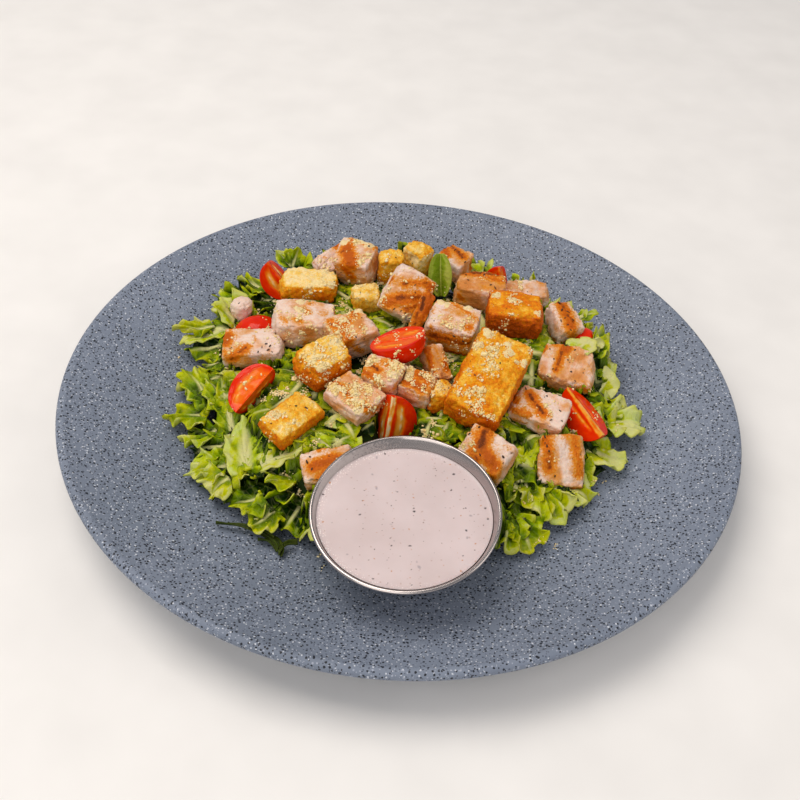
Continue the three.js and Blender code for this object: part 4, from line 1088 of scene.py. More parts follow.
def fan_leaf(rng, length, width, rows, columns, frill, rib, bend, fold, spread):
    """A torn piece of leaf that fans out from its stem at the origin, along x: its middle surface, half
    thickness, how much of each point is rib, how near the margin it is, and its place on the flat leaf."""
    phase = rng.uniform(0, 2 * np.pi, 12)
    r = (0.05 + 0.95 * np.linspace(0, 1, rows) ** 0.85)[:, None]
    turn = np.linspace(-spread, spread, columns)
    torn = 1 + 0.07 * np.sin(3 * turn + phase[0]) + 0.05 * np.sin(7 * turn + phase[1])
    ragged = rng.uniform(-1, 1, columns)
    ragged = 0.25 * np.roll(ragged, 1) + 0.5 * ragged + 0.25 * np.roll(ragged, -1)
    reach = length * np.cos(0.5 * turn) ** 1.1 * (torn + 0.06 * ragged)
    wide = width / (1.55 * length)
    rim = np.stack([reach * np.cos(turn), reach * np.sin(turn) * wide], axis=1)
    arc = np.concatenate([[0], np.cumsum(np.linalg.norm(np.diff(rim, axis=0), axis=1))])
    drift = 0.8 * np.sin(arc / 11 + phase[2]) + 0.6 * np.sin(arc / 6.5 + phase[3])
    uneven = 0.75 + 0.35 * np.sin(arc / 9 + phase[4])
    wave = 2 * np.pi * arc / rng.uniform(6.5, 9.5) + phase[5] + drift
    small = 2 * np.pi * arc / rng.uniform(3.9, 4.8) + phase[6] + 1.5 * drift
    x, y = r * rim[:, 0], r * rim[:, 1]
    flat = np.stack([x, y, np.full(x.shape, 11.0 * phase[7])], axis=2).reshape(-1, 3)
    z = frill * uneven * r**1.8 * np.sin(wave + 0.8 * r) + 0.4 * frill * r**4 * np.sin(small + 1.5 * r)
    side = 0.5 * frill * uneven * r**2.2 * np.cos(wave + 0.8 * r) + 0.2 * frill * r**4 * np.cos(small)
    out = 0.3 * frill * r**2.5 * np.cos(wave + 1)
    x, y = x + out * np.cos(turn) - side * np.sin(turn), y + out * np.sin(turn) + side * np.cos(turn)
    z = z + 0.7 * lumps(flat, 7.5, 1).reshape(z.shape) + 0.45 * lumps(flat, 3.0, 2).reshape(z.shape)
    z = z + fold * np.abs(y) + 0.012 * y**2 - 0.5 * rib * np.exp(-((y / (rib + 0.8)) ** 2)) * (1 - r)
    s = np.clip(x / length, -0.5, 1.2)
    rise = bend * s + 0.15 * np.sin(5 * s + phase[8])
    middle_x = x * np.cos(0.5 * rise) - z * np.sin(rise)
    middle_z = x * np.sin(0.5 * rise) + z * np.cos(rise)
    points = np.stack([middle_x, y, middle_z], axis=2).reshape(-1, 3)
    ribbed = np.exp(-((y / (rib * (1.1 - 0.5 * r) + 0.4)) ** 2)) * np.clip(1.25 - r**1.5, 0, 1) * (x > 0)
    branch = np.zeros(columns)
    branch[3::6] = 1
    ribbed = np.maximum(ribbed, branch * 0.3 * np.clip(1.3 - 1.3 * r, 0, 1))
    stem = np.clip(1 - 3.2 * r, 0, 1)
    ribbed = np.maximum(ribbed, 0.7 * stem)
    thick = LEAF_HALF + 0.45 * rib * np.exp(-((y / (rib + 0.3)) ** 2)) * np.clip(1 - 0.8 * r, 0, 1) * (x > 0)
    return points, thick.ravel(), ribbed.ravel(), np.broadcast_to(r, z.shape).ravel(), flat


def sheet_normals(points, rows, columns):
    """The way each point of a grid of points faces."""
    grid = points.reshape(rows, columns, 3)
    along, across = np.gradient(grid, axis=0), np.gradient(grid, axis=1)
    normal = np.cross(along, across).reshape(-1, 3)
    return normal / np.maximum(np.linalg.norm(normal, axis=1), 1e-9)[:, None]


def closed_sheet(rows, columns):
    """The quads of a thin closed leaf: its upper face, its lower face, and the rim that joins them."""
    upper = grid_faces(rows, columns)
    lower = grid_faces(rows, columns, rows * columns)[:, ::-1]
    index = np.arange(rows * columns).reshape(rows, columns)
    rim = np.concatenate([index[0, :-1], index[:-1, -1], index[-1, :0:-1], index[:0:-1, 0]])
    after = np.roll(rim, -1)
    sides = np.stack([after, rim, rim + rows * columns, after + rows * columns], axis=1)
    return np.concatenate([upper, lower, sides])


class Leaves:
    """Leaves that are gathered into one mesh piece."""

    def __init__(self):
        self.points, self.faces, self.leaf, self.blade, self.count, self.number = [], [], [], [], 0, 0

    def add(self, points, thick, ribbed, margin, flat, rows, columns, shade):
        normals = sheet_normals(points, rows, columns)
        both = np.concatenate([points + normals * thick[:, None], points - normals * thick[:, None]])
        low = plate_level(both[:, 0], both[:, 1]) + 0.1
        both[:, 2] = np.maximum(both[:, 2], low)
        self.points.append(both)
        self.faces.append(closed_sheet(rows, columns) + self.count)
        values = np.stack([ribbed, margin, np.full(len(margin), shade)], axis=1)
        self.leaf.append(np.tile(values, (2, 1)))
        blade = flat.copy()
        blade[:, 2] = 7.0 * self.number
        self.blade.append(np.tile(blade, (2, 1)))
        self.count += len(both)
        self.number += 1

    def make(self, name, material):
        piece = piece_from_arrays(name, np.concatenate(self.points) * MM, np.concatenate(self.faces))
        mark(piece.data, "leaf", np.concatenate(self.leaf))
        mark(piece.data, "blade", np.concatenate(self.blade))
        piece.data.polygons.foreach_set("use_smooth", np.ones(len(piece.data.polygons), bool))
        piece.data.materials.append(material)
        return piece


def leaf_material(name, deep, middle, bright, rib_colour, edge_colour):
    """Living leaf: shades from deep to bright green, paler to the ribs and the margin, with fine veins; the
    margin is partly its own paler tone and partly painted light.
    """
    leaf_green, _ = new_material(name)
    values = add_node(leaf_green, "Attribute", attribute_name="leaf").outputs["Vector"]
    parts = add_node(leaf_green, "SeparateXYZ", {"Vector": values})
    blade = add_node(leaf_green, "Attribute", attribute_name="blade").outputs["Vector"]
    cloud = add_node(leaf_green, "TexNoise", {"Vector": blade, "Scale": 0.16, "Detail": 3}).outputs["Fac"]
    # Painted light and shade: the outer part of a leaf is painted brighter, as it stands out into the light,
    # and the part near the stem darker.
    outward = {0: parts.outputs["Y"], 1: 0.55, 2: parts.outputs["Z"]}
    lit = add_node(leaf_green, "Math", outward, operation="MULTIPLY_ADD").outputs["Value"]
    shade = mottled(leaf_green, lit, cloud, 1.0)
    stops = [(0.22, deep), (0.53, middle), (0.86, bright), (1.0, rib_colour)]
    green = add_node(leaf_green, "ValToRGB", {"Fac": shade}, stops).outputs["Color"]
    drift = add_node(leaf_green, "TexNoise", {"Vector": blade, "Scale": 0.07}).outputs["Fac"]
    drift = add_node(leaf_green, "ValToRGB", {"Fac": drift}, [(0.4, "#ecffdc"), (0.6, "#ffffff")])
    drifting = {0: 1.0, 6: green, 7: drift.outputs["Color"]}
    green = add_node(leaf_green, "Mix", drifting, data_type="RGBA", blend_type="MULTIPLY").outputs[2]
    veins = add_node(leaf_green, "TexVoronoi", {"Vector": blade, "Scale": 0.3}, feature="DISTANCE_TO_EDGE")
    vein = add_node(leaf_green, "ValToRGB", {"Fac": veins.outputs["Distance"]}, [(0.0, 0.1), (0.09, 0.0)])
    veined = {0: vein.outputs["Color"], 6: green, 7: rib_colour}
    tint = add_node(leaf_green, "Mix", veined, data_type="RGBA").outputs[2]
    margin = add_node(leaf_green, "ValToRGB", {"Fac": parts.outputs["Y"]}, [(0.8, 0.0), (1.0, 0.5)])
    edged = {0: margin.outputs["Color"], 6: tint, 7: edge_colour}
    tint = add_node(leaf_green, "Mix", edged, data_type="RGBA").outputs[2]
    rib = add_node(leaf_green, "ValToRGB", {"Fac": parts.outputs["X"]}, [(0.2, 0.0), (0.8, 1.0)])
    ribbed = {0: rib.outputs["Color"], 6: tint, 7: rib_colour}
    tint = add_node(leaf_green, "Mix", ribbed, data_type="RGBA").outputs[2]
    crinkle = {"Vector": blade, "Scale": 0.55, "Detail": 3, "Roughness": 0.6}
    crinkle = add_node(leaf_green, "TexNoise", crinkle).outputs["Fac"]
    folds = add_node(leaf_green, "Bump", {"Height": crinkle, "Distance": 1.2 * MM, "Strength": 0.6})
    relief = {"Height": veins.outputs["Distance"], "Distance": 0.4 * MM, "Strength": 0.5}
    relief = add_node(leaf_green, "Bump", {**relief, "Normal": folds.outputs["Normal"]})
    shader = add_node(
        leaf_green,
        "BsdfPrincipled",
        {
            "Base Color": tint,
            "Roughness": 0.32,
            "IOR": 1.42,
            "Specular IOR Level": 0.1,
            "Subsurface Weight": 0.2,
            "Subsurface Radius": (0.8, 1.0, 0.15),
            "Subsurface Scale": MM,
            "Normal": relief.outputs["Normal"],
        },
    )
    add_node(leaf_green, "OutputMaterial", {"Surface": shader.outputs["BSDF"]})
    return leaf_green


# Crisp leaf tissue: light passes through the thin blade, so shaded folds still glow yellow green, while
# a waxy skin gives small highlights. The ribs are pale.
lettuce_green = leaf_material("leaf_lettuce_blade", "#122a00", "#708600", "#bcbe04", "#cfce8c", "#c0c214")

# The imported bed below, seen only in the gaps: painted shade, a near black green far darker than the rest,
# where shadow falls between the leaves.
bed_green, place = new_material("shaded_leaf_bed")
creases = {"Vector": place, "Scale": 160, "Detail": 5, "Roughness": 0.65}
creases = add_node(bed_green, "TexNoise", creases).outputs["Fac"]
tint = add_node(bed_green, "ValToRGB", {"Fac": creases}, [(0.35, "#060c00"), (0.7, "#203402")])
relief = add_node(bed_green, "Bump", {"Height": creases, "Distance": 2 * MM, "Strength": 0.7})
shaded = {"Base Color": tint.outputs["Color"], "Roughness": 0.6, "Specular IOR Level": 0.1}
shader = add_node(bed_green, "BsdfPrincipled", {**shaded, "Normal": relief.outputs["Normal"]})
add_node(bed_green, "OutputMaterial", {"Surface": shader.outputs["BSDF"]})

BED_ROUND, BED_OUT = 140, 44
angle, part = np.meshgrid(
    np.linspace(0, 2 * np.pi, BED_ROUND, endpoint=False), np.linspace(0.01, 1, BED_OUT) ** 0.9, indexing="ij"
)
reach = heap_reach(angle)
x = HEAP_MIDDLE[0] + np.cos(angle) * HEAP_RADII[0] * part * reach * BED_PART
y = HEAP_MIDDLE[1] + np.sin(angle) * HEAP_RADII[1] * part * reach * BED_PART
flat = np.stack([x, y, np.zeros(x.shape)], axis=2).reshape(-1, 3)
wrinkle = (1.6 * lumps(flat, 7.0, 5) + 0.9 * lumps(flat, 3.5, 6)).reshape(x.shape)
low = plate_level(x, y) + 0.4
top = np.maximum(bed_top(x, y) - 3.2 + wrinkle, low + 0.3)
top[:, -1] = low[:, -1] + 0.6
upper = settle(np.stack([x, y, top], axis=2).reshape(-1, 3))
lower = np.stack([upper[:, 0], upper[:, 1], plate_level(upper[:, 0], upper[:, 1]) + 0.3], axis=1)
wrap = (np.arange(BED_ROUND)[:, None] * BED_OUT + np.arange(BED_OUT - 1)).ravel()
size = BED_ROUND * BED_OUT
top_faces = np.stack([wrap, wrap + 1, (wrap + BED_OUT + 1) % size, (wrap + BED_OUT) % size], axis=1)
rim = np.arange(BED_ROUND) * BED_OUT + BED_OUT - 1
after = np.roll(rim, -1)
side_faces = np.stack([rim, rim + size, after + size, after], axis=1)
faces = np.concatenate([top_faces, top_faces[:, ::-1] + size, side_faces])
bed = piece_from_arrays("lettuce_bed", np.concatenate([upper, lower]) * MM, faces)
open_mesh(bed)
bpy.ops.mesh.select_mode(type="VERT")
bpy.ops.mesh.select_all(action="DESELECT")
bpy.ops.mesh.select_non_manifold()
bpy.ops.mesh.fill_holes(sides=0)
bpy.ops.mesh.select_all(action="SELECT")
bpy.ops.mesh.normals_make_consistent(inside=False)
bpy.ops.object.mode_set(mode="OBJECT")
bpy.ops.object.shade_smooth()
bed.data.materials.append(bed_green)
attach(bed, "root")
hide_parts("lettuce")

# The leaves that show between and around the toppings. Each: the pixel where its stem shows and the stem's
# height over the plate in millimetres, the same of its tip, its width, how much it frills, how bright it
# is (its own tone together with painted light and shade for where it lies), how thick its rib, its roll in
# degrees, and True if it lies over a topping.
SHOWN_LEAVES = [
    ((291, 268), 9, (279, 249), 14, 11, 1.2, 0.6, 0.3, 0),
    ((292, 268), 9, (299, 246), 15, 10, 1.2, 0.55, 0.3, 20),
    ((268, 292), 14, (243, 281), 8, 15, 2.2, 0.55, 0.5, 10),
    ((280, 302), 14, (250, 300), 10, 16, 2.2, 0.35, 0.3, -15),
    ((238, 324), 12, (218, 298), 16, 13, 1.0, 0.75, 3.0, 0),
    ((215, 326), 12, (175, 332), 6, 10, 2.0, 0.6, 0.5, 0),
    ((228, 328), 12, (178, 341), 8, 12, 1.0, 0.7, 2.6, 10),
    ((222, 345), 10, (186, 353), 5, 17, 2.4, 0.5, 0.5, -10),
    ((226, 360), 10, (203, 369), 5, 14, 2.2, 0.35, 0.4, 10),
    ((214, 405), 10, (186, 371), 10, 16, 2.2, 0.55, 0.8, 0),
    ((226, 410), 12, (206, 374), 14, 14, 1.8, 0.6, 0.5, 15),
    ((232, 430), 12, (224, 380), 16, 12, 1.3, 0.55, 1.0, -15),
    ((207, 415), 10, (167, 416), 5, 16, 2.3, 0.6, 0.5, 0),
    ((217, 430), 10, (180, 438), 5, 18, 2.5, 0.65, 0.5, 10),
    ((225, 445), 10, (192, 451), 4, 16, 2.3, 0.5, 0.4, -10),
    ((246, 470), 12, (243, 410), 20, 15, 1.0, 0.75, 3.0, -10),
    ((228, 465), 9, (187, 472), 4, 18, 2.5, 0.75, 0.6, 0),
    ((230, 478), 9, (205, 495), 4, 18, 2.5, 0.7, 0.6, 0),
    ((260, 464), 16, (305, 446), 23, 9, 0.6, 0.8, 2.4, 0),
    ((298, 478), 12, (258, 470), 14, 20, 2.6, 0.65, 0.6, 0),
    ((302, 496), 8, (264, 488), 8, 20, 2.6, 0.55, 0.5, 10),
    ((264, 497), 9, (232, 506), 4, 18, 2.6, 0.6, 0.5, 0),
    ((274, 510), 8, (248, 529), 4, 16, 2.4, 0.55, 0.5, 0),
    ((302, 503), 8, (283, 534), 4, 18, 2.4, 0.5, 0.5, 0),
    ((342, 454), 22, (306, 437), 24, 16, 1.6, 0.2, 1.0, 0),
    ((328, 450), 22, (354, 432), 26, 14, 1.6, 0.3, 0.6, 0),
    ((329, 427), 24, (341, 403), 28, 6, 0.8, 0.75, 1.6, 40),
    ((345, 286), 32, (376, 266), 37, 12, 1.6, 0.6, 0.5, 0, True),
    ((341, 306), 32, (364, 297), 34, 11, 1.2, 0.45, 0.4, 0, True),
    ((510, 279), 24, (522, 270), 30, 8, 1.0, 0.6, 0.4, 0),
    ((530, 281), 22, (533, 271), 28, 7, 1.0, 0.5, 0.4, 0),
    ((586, 342), 19, (589, 322), 24, 13, 1.6, 0.65, 0.6, 20, True),
    ((580, 322), 14, (588, 309), 18, 5, 0.8, 0.6, 1.2, -30),
    ((574, 320), 16, (599, 311), 16, 7, 1.2, 0.5, 0.8, 0),
    ((584, 352), 20, (604, 322), 20, 18, 1.9, 0.5, 0.6, 0, True),
    ((578, 350), 21, (598, 338), 21, 14, 2.0, 0.9, 0.5, 0, True),
    ((588, 348), 14, (607, 392), 8, 15, 1.7, 0.95, 2.2, 0),
    ((600, 420), 10, (643, 425), 5, 25, 2.6, 0.95, 0.6, 0),
    ((584, 450), 10, (628, 461), 5, 16, 1.2, 0.9, 1.2, 0),
    ((576, 468), 9, (592, 485), 6, 13, 2.0, 0.7, 0.5, 0),
    ((568, 487), 9, (594, 501), 4, 15, 2.0, 0.75, 0.5, 0),
    ((537, 478), 11, (510, 516), 7, 25, 3.0, 0.7, 0.6, 0),
    ((538, 480), 11, (557, 524), 5, 25, 3.0, 0.75, 0.6, 0),
    ((524, 476), 13, (530, 506), 11, 19, 2.6, 0.6, 0.5, 0),
    ((545, 480), 10, (569, 504), 5, 19, 2.6, 0.65, 0.5, 0),
    ((512, 513), 8, (503, 552), 3, 18, 2.6, 0.6, 0.5, 0),
    ((520, 518), 8, (531, 552), 3, 17, 2.6, 0.55, 0.5, 0),
    ((520, 482), 14, (511, 430), 22, 18, 2.0, 0.45, 1.0, 0),
    ((527, 478), 14, (530, 440), 19, 14, 1.7, 0.35, 0.5, 20),
    ((530, 388), 24, (535, 345), 31, 13, 1.5, 0.2, 0.8, 0),
    ((575, 352), 24, (594, 333), 27, 12, 2.0, 0.9, 0.5, 0, True),
    ((598, 392), 12, (614, 372), 12, 13, 2.0, 0.9, 0.5, 0),
    ((424, 442), 22, (432, 413), 28, 14, 1.5, 0.2, 0.6, 0),
    ((440, 442), 22, (450, 417), 26, 12, 1.5, 0.25, 0.5, 0),
]
SHOWN_ROWS, SHOWN_COLUMNS = 15, 58

rng = np.random.default_rng(900)
leaves = Leaves()
for stem, stem_over, tip, tip_over, width, frill, shade, rib, roll, *overlaps in SHOWN_LEAVES:
    start, end = place_over_plate(*stem, stem_over), place_over_plate(*tip, tip_over)
    length = 0.95 * float(np.linalg.norm(end - start))
    spread = rng.uniform(1.3, 1.8)
    bend, fold = rng.uniform(-0.3, 0.25), rng.uniform(-0.05, 0.3)
    made = fan_leaf(rng, length, width, SHOWN_ROWS, SHOWN_COLUMNS, frill, rib, bend, fold, spread)
    way = Vector(end - start).normalized()
    sideways = Matrix.Rotation(math.radians(roll), 3, way) @ way.cross(Vector((0, 0, 1))).normalized()
    turn = facing(sideways.cross(way), way)
    points = made[0] @ turn.T + start
    points = lift_over(settle(points)) if overlaps else settle(press_down(points, SHOWN_ROWS, SHOWN_COLUMNS))
    leaves.add(points, *made[1:], SHOWN_ROWS, SHOWN_COLUMNS, shade - 0.2)
piece = leaves.make("lettuce_shown_leaves", lettuce_green)
leaf_pieces = [piece]
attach(piece, "root")
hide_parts("lettuce")

# From here on, leaves also stay behind the ones already placed.
bpy.context.view_layer.update()
leaves_seen = distances_seen(BVHTree.FromObject(piece, bpy.context.evaluated_depsgraph_get()))
shown = np.where((leaves_seen > 0) & ~((shown > 0) & (shown < leaves_seen)), leaves_seen, shown)

# Each layer of torn leaves: how many, the rows and columns of their meshes, the share of a leaf that may
# stand in front of a topping before it is pressed down; then from what to what: how far out they lie, how
# high over the bed, their length, how much they frill, their pitch down to the tip, and how bright they are,
# with painted shade that sets the inner layers darker.
LEAF_LAYERS = {
    "lettuce_edge_leaves": (66, 12, 58, 0.2,
                            (0.7, 0.86), (-1, 6), (15, 24), (2.2, 3.6), (-20, 45), (-0.15, 0.65)),
    "lettuce_outer_leaves": (84, 11, 50, 0.2,
                             (0.5, 0.82), (-1, 7), (12, 21), (2.0, 3.4), (-45, 40), (-0.2, 0.6)),
    "lettuce_inner_leaves": (100, 10, 36, 0.15,
                             (0.25, 0.68), (-2, 4), (11, 19), (1.4, 2.6), (-30, 30), (-0.1, 0.35)),
    "lettuce_middle_bits": (120, 8, 26, 0.1,
                            (0.0, 0.6), (-3, 3), (6, 13), (0.9, 2.0), (-40, 40), (-0.15, 0.3)),
}  # fmt: skip
TRIES = 12  # how often a leaf that lies badly is made again, each time a little smaller and lower
OUTSIDE_MOST = 0.04  # the share of a leaf that may reach past the heap's outline
for number, (name, (count, rows, columns, share, *ranges)) in enumerate(LEAF_LAYERS.items()):
    out, over, lengths, frills, pitches, shades = ranges
    rng = np.random.default_rng(500 + number)
    leaves = Leaves()
    for k in range(count):
        for attempt in range(TRIES):
            angle = (k + rng.uniform(0, 1)) / count * 2 * np.pi * (1 if out[0] > 0.3 else 7.3)
            reach = np.interp((angle / (2 * np.pi)) % 1 * 12, range(13), HEAP_REACH)
            part = rng.uniform(*out) * reach
            x = HEAP_MIDDLE[0] + math.cos(angle) * HEAP_RADII[0] * part
            y = HEAP_MIDDLE[1] + math.sin(angle) * HEAP_RADII[1] * part
            length = rng.uniform(*lengths) * (1 - 0.03 * attempt)
            width = length * rng.uniform(0.9, 1.5)
            rib = rng.choice([0.3, 0.7, 1.6], p=[0.5, 0.35, 0.15])
            frill, bend, fold = rng.uniform(*frills), rng.uniform(-0.7, 0.3), rng.uniform(-0.15, 0.35)
            spread = rng.uniform(1.1, 1.9)
            made = fan_leaf(rng, length, width, rows, columns, frill, rib, bend, fold, spread)
            heading = angle + rng.normal(0, 0.75)
            pitch = math.radians(rng.uniform(*pitches))
            level = math.cos(pitch)
            way = Vector((math.cos(heading) * level, math.sin(heading) * level, -math.sin(pitch)))
            sideways = way.cross(Vector((0, 0, 1))).normalized()
            sideways = Matrix.Rotation(rng.normal(0, 0.45), 3, way) @ sideways
            z = bed_top(x, y) + rng.uniform(*over) - 0.45 * attempt
            points = settle(made[0] @ facing(sideways.cross(way), way).T + (x, y, z))
            far_out = np.mean(heap_part(points[:, 0], points[:, 1]) > 1.03)
            outside = max(far_out, np.mean(past_outline(points)))
            if in_front(points).mean() < share and outside < OUTSIDE_MOST:
                leaves.add(press_down(points, rows, columns), *made[1:], rows, columns, rng.uniform(*shades))
                break
    piece = leaves.make(name, lettuce_green)
    leaf_pieces.append(piece)
    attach(piece, "root")
    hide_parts("lettuce")

# Painted shade: the deeper a part of a leaf lies under the tops round it, the darker green it is painted and
# the less of its bright margin shows, where the leaves above shade it.
TOP_CELL, TOP_CELLS = 2.5, 96  # the squares over which the tops are averaged, in millimetres, and how many
DEEPEST = 5  # millimetres, below which nothing gets darker
DEEP_SHADE = 0.055  # how much darker each millimetre deeper, from 0 to 1
DEEP_MARGIN = 0.12  # how much less of the bright margin shows
leaf_points = [points_of(piece.data) / MM for piece in leaf_pieces]
half_tops = TOP_CELLS * TOP_CELL / 2
leaf_cells = [((points[:, :2] + half_tops) / TOP_CELL).astype(int).T for points in leaf_points]
tops = np.zeros((TOP_CELLS, TOP_CELLS))
for points, (i, j) in zip(leaf_points, leaf_cells):
    np.maximum.at(tops, (i, j), points[:, 2])
around = np.pad(tops, 1)
steps = [(a, b) for a in (0, 1, 2) for b in (0, 1, 2)]
tops = sum(around[a : a + TOP_CELLS, b : b + TOP_CELLS] for a, b in steps) / len(steps)
for piece, points, (i, j) in zip(leaf_pieces, leaf_points, leaf_cells):
    values = np.empty(3 * len(points), np.float32)
    piece.data.attributes["leaf"].data.foreach_get("vector", values)
    values = values.reshape(-1, 3)
    depth = np.clip(tops[i, j] - points[:, 2], 0, DEEPEST)
    values[:, 2] -= DEEP_SHADE * depth
    values[:, 1] *= 1 - DEEP_MARGIN * depth
    piece.data.attributes["leaf"].data.foreach_set("vector", values.ravel())

# ------------------------------------------------------------------------------- two loose leaves
# A smooth round spinach leaf that stands up between the toppings at the back, and a limp dark blade of
# herb that has dropped on the bare plate.
SPINACH_PLACE = (13.5, 57.3, 40)
SPINACH_UP, SPINACH_ALONG = (-0.15, -0.85, 0.5), (-0.1, 0.5, 0.86)
SPINACH_ROWS, SPINACH_COLUMNS = 40, 17
HERB_UP = (0.08, 0.14, 1)
HERB_ROWS, HERB_COLUMNS = 34, 9
# Each blade of the herb: its half width in millimetres, the pixels where its two ends show, and how far it
# stands off the plate.
HERB_BLADES = [
    (1.2, (216, 524), (274, 540), 1.6), (1.5, (262, 534), (283, 556), 1.4),
    (1.0, (279, 555), (297, 543), 2.0), (1.1, (258, 541), (278, 551), 1.3),
]  # fmt: skip

spinach_green = leaf_material("spinach_blade", "#3c5804", "#627206", "#82941a", "#a9b04a", "#82901c")
herb_green = leaf_material("wilted_herb_blade", "#151d06", "#28340f", "#444d17", "#4d5724", "#202b0d")


def smooth_leaf(length, half_width, rows, columns, sag, curl, twist):
    """A smooth blade along x round the origin, given as fan_leaf gives its leaf."""
    s, t = np.meshgrid(np.linspace(0, 1, rows), np.linspace(-1, 1, columns), indexing="ij")
    half = half_width * np.sqrt(np.sin(np.pi * (0.04 + 0.93 * s)))
    x, y = length * (s - 0.5), t * half
    z = curl * t**2 + 1.2 * np.sin(3 * s) * sag + twist * t * (s - 0.5) - 0.25 * np.exp(-((y / 0.5) ** 2))
    points = np.stack([x, y + 1.6 * np.sin(3.4 * s) * (half_width < 3), z], axis=2).reshape(-1, 3)
    flat = np.stack([x, y, 0 * x], axis=2).reshape(-1, 3)
    thick = np.full(s.size, 0.22)
    ribbed = (0.8 * np.exp(-((y / 0.35) ** 2))).ravel()
    return points, thick, ribbed, np.abs(t).ravel(), flat


spinach = Leaves()
made = smooth_leaf(19, 5.2, SPINACH_ROWS, SPINACH_COLUMNS, 1.0, 1.8, 1.5)
points = made[0] @ facing(SPINACH_UP, SPINACH_ALONG).T + SPINACH_PLACE
spinach.add(points, *made[1:], SPINACH_ROWS, SPINACH_COLUMNS, 0.6)
spinach_piece = spinach.make("spinach_leaf_blade", spinach_green)
herb = Leaves()
for half_width, start, end, lift in HERB_BLADES:
    start, end = place_over_plate(*start, lift), place_over_plate(*end, lift)
    length = float(np.linalg.norm(end - start))
    made = smooth_leaf(length, half_width, HERB_ROWS, HERB_COLUMNS, 0.7, 0.7, 2.6)
    points = made[0] @ facing(HERB_UP, end - start).T + (start + end) / 2
    herb.add(settle(points), *made[1:], HERB_ROWS, HERB_COLUMNS, 0.35)
herb_piece = herb.make("herb_leaf_blade", herb_green)
for piece, node, finish in ((spinach_piece, "spinach_leaf", "spinach"), (herb_piece, "herb_leaf", "herb")):
    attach(piece, "root")
    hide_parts(node)

# ------------------------------------------------------------------------------- parmesan and pepper
# Parmesan grated over the finished salad in uneven crumbs of 0.3 to 2.5 mm, many of them in clumps, and
# coarse ground pepper and dried herb that stuck to the chicken.
PEPPER_EACH = 6  # small flakes on each piece of chicken and bread
CRUMBS_PER_UNIT = 2.2  # how many crumbs fall for each unit of parmesan
CLUMP_OF, CLUMP_SPREAD = 9, 2.2  # crumbs to a clump, and how many pixels widely they lie round it
STRAY_CRUMBS, STRAY_REACH, STRAY_FROM = 700, 85, 90  # how many fall anywhere, how far out, from how high
CRUMB_SIZE, CRUMB_RANGE = 0.58, (0.25, 1.9)  # their usual size and its limits, in millimetres
CRUMB_SHAPE, FLAKE_SHAPE = np.array([1.2, 0.85, 0.65]), np.array([1.3, 0.6, 0.5])  # in parts of their size
BARE = (None, "steel_sauce_cup", "caesar_dressing")  # where no parmesan lies
# Where parmesan fell: how much, round which pixel, and how many pixels widely.
CHEESE = [
    (90, (312, 274), 22), (300, (326, 352), 17), (60, (315, 345), 30), (60, (297, 410), 22),
    (150, (480, 405), 12), (100, (488, 366), 9), (90, (500, 380), 22), (70, (503, 344), 16),
    (80, (515, 308), 16), (20, (390, 255), 9), (50, (444, 386), 7), (25, (365, 290), 9),
    (120, (296, 318), 16), (90, (342, 332), 8), (40, (352, 318), 10), (150, (358, 262), 15),
    (20, (402, 316), 8), (10, (398, 270), 12), (110, (452, 320), 14), (30, (466, 344), 7),
    (12, (485, 285), 12), (12, (543, 403), 9), (140, (374, 392), 8), (40, (344, 384), 9),
    (90, (396, 371), 8), (60, (372, 362), 8), (90, (404, 366), 7), (50, (424, 386), 7),
    (30, (438, 375), 7), (14, (452, 361), 5), (8, (250, 340), 15), (8, (560, 365), 15),
    (8, (555, 462), 12), (4, (575, 418), 4), (6, (250, 384), 9), (40, (279, 394), 7), (30, (428, 428), 7),
    (16, (500, 330), 5), (30, (378, 275), 7), (14, (340, 420), 12), (5, (599, 484), 6),
    (4, (550, 543), 4), (2, (180, 360), 4), (4, (320, 560), 6), (10, (225, 340), 14), (60, (336, 386), 4),
    (60, (355, 388), 4), (50, (358, 406), 4), (40, (341, 391), 5), (14, (290, 480), 18),
    (12, (600, 400), 14), (10, (535, 500), 18), (30, (470, 440), 9), (12, (260, 420), 10),
]  # fmt: skip
# The pixels where single large flakes of pepper show.
PEPPER = [
    (554, 359), (553, 369), (548, 376), (571, 372), (568, 360), (575, 350), (550, 349), (526, 389),
    (560, 411), (562, 421), (551, 420), (547, 396), (479, 427), (473, 424), (469, 434), (480, 455),
    (503, 457), (545, 437), (547, 446), (549, 451), (555, 476), (448, 300), (434, 321), (454, 336),
    (443, 346), (463, 341), (455, 281), (466, 275), (468, 280), (481, 273), (484, 275), (491, 285),
    (495, 288), (478, 309), (459, 252), (462, 258), (455, 250), (465, 262), (559, 303), (562, 310),
    (565, 318), (568, 325), (571, 330), (561, 321), (573, 320), (568, 312), (356, 337), (364, 339),
    (340, 312), (346, 394), (364, 406), (355, 389), (262, 347), (266, 344), (270, 346), (272, 352),
    (258, 352), (285, 341), (268, 350), (405, 313), (409, 318), (401, 311), (394, 309), (415, 285),
    (310, 457), (312, 469), (307, 462), (379, 250), (369, 246), (480, 392), (500, 363), (471, 407),
    (296, 406), (306, 408), (312, 400), (268, 535),
]  # fmt: skip

# Every crumb and flake starts as a ball of twenty faces.
bpy.ops.object.select_all(action="DESELECT")
bpy.ops.mesh.primitive_ico_sphere_add(subdivisions=1, radius=1)
crumb = bpy.context.object
crumb_form = np.round(points_of(crumb.data), 2)
crumb_faces = np.array([list(face.vertices) for face in crumb.data.polygons])
bpy.data.objects.remove(crumb)

bpy.context.view_layer.update()
graph = bpy.context.evaluated_depsgraph_get()
replaced = {node.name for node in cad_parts.values()} | {"table_top"}
food = [piece for piece in bpy.data.objects if piece.type == "MESH" and piece.name not in replaced]
food_trees = {piece.name: BVHTree.FromObject(piece, graph) for piece in food}


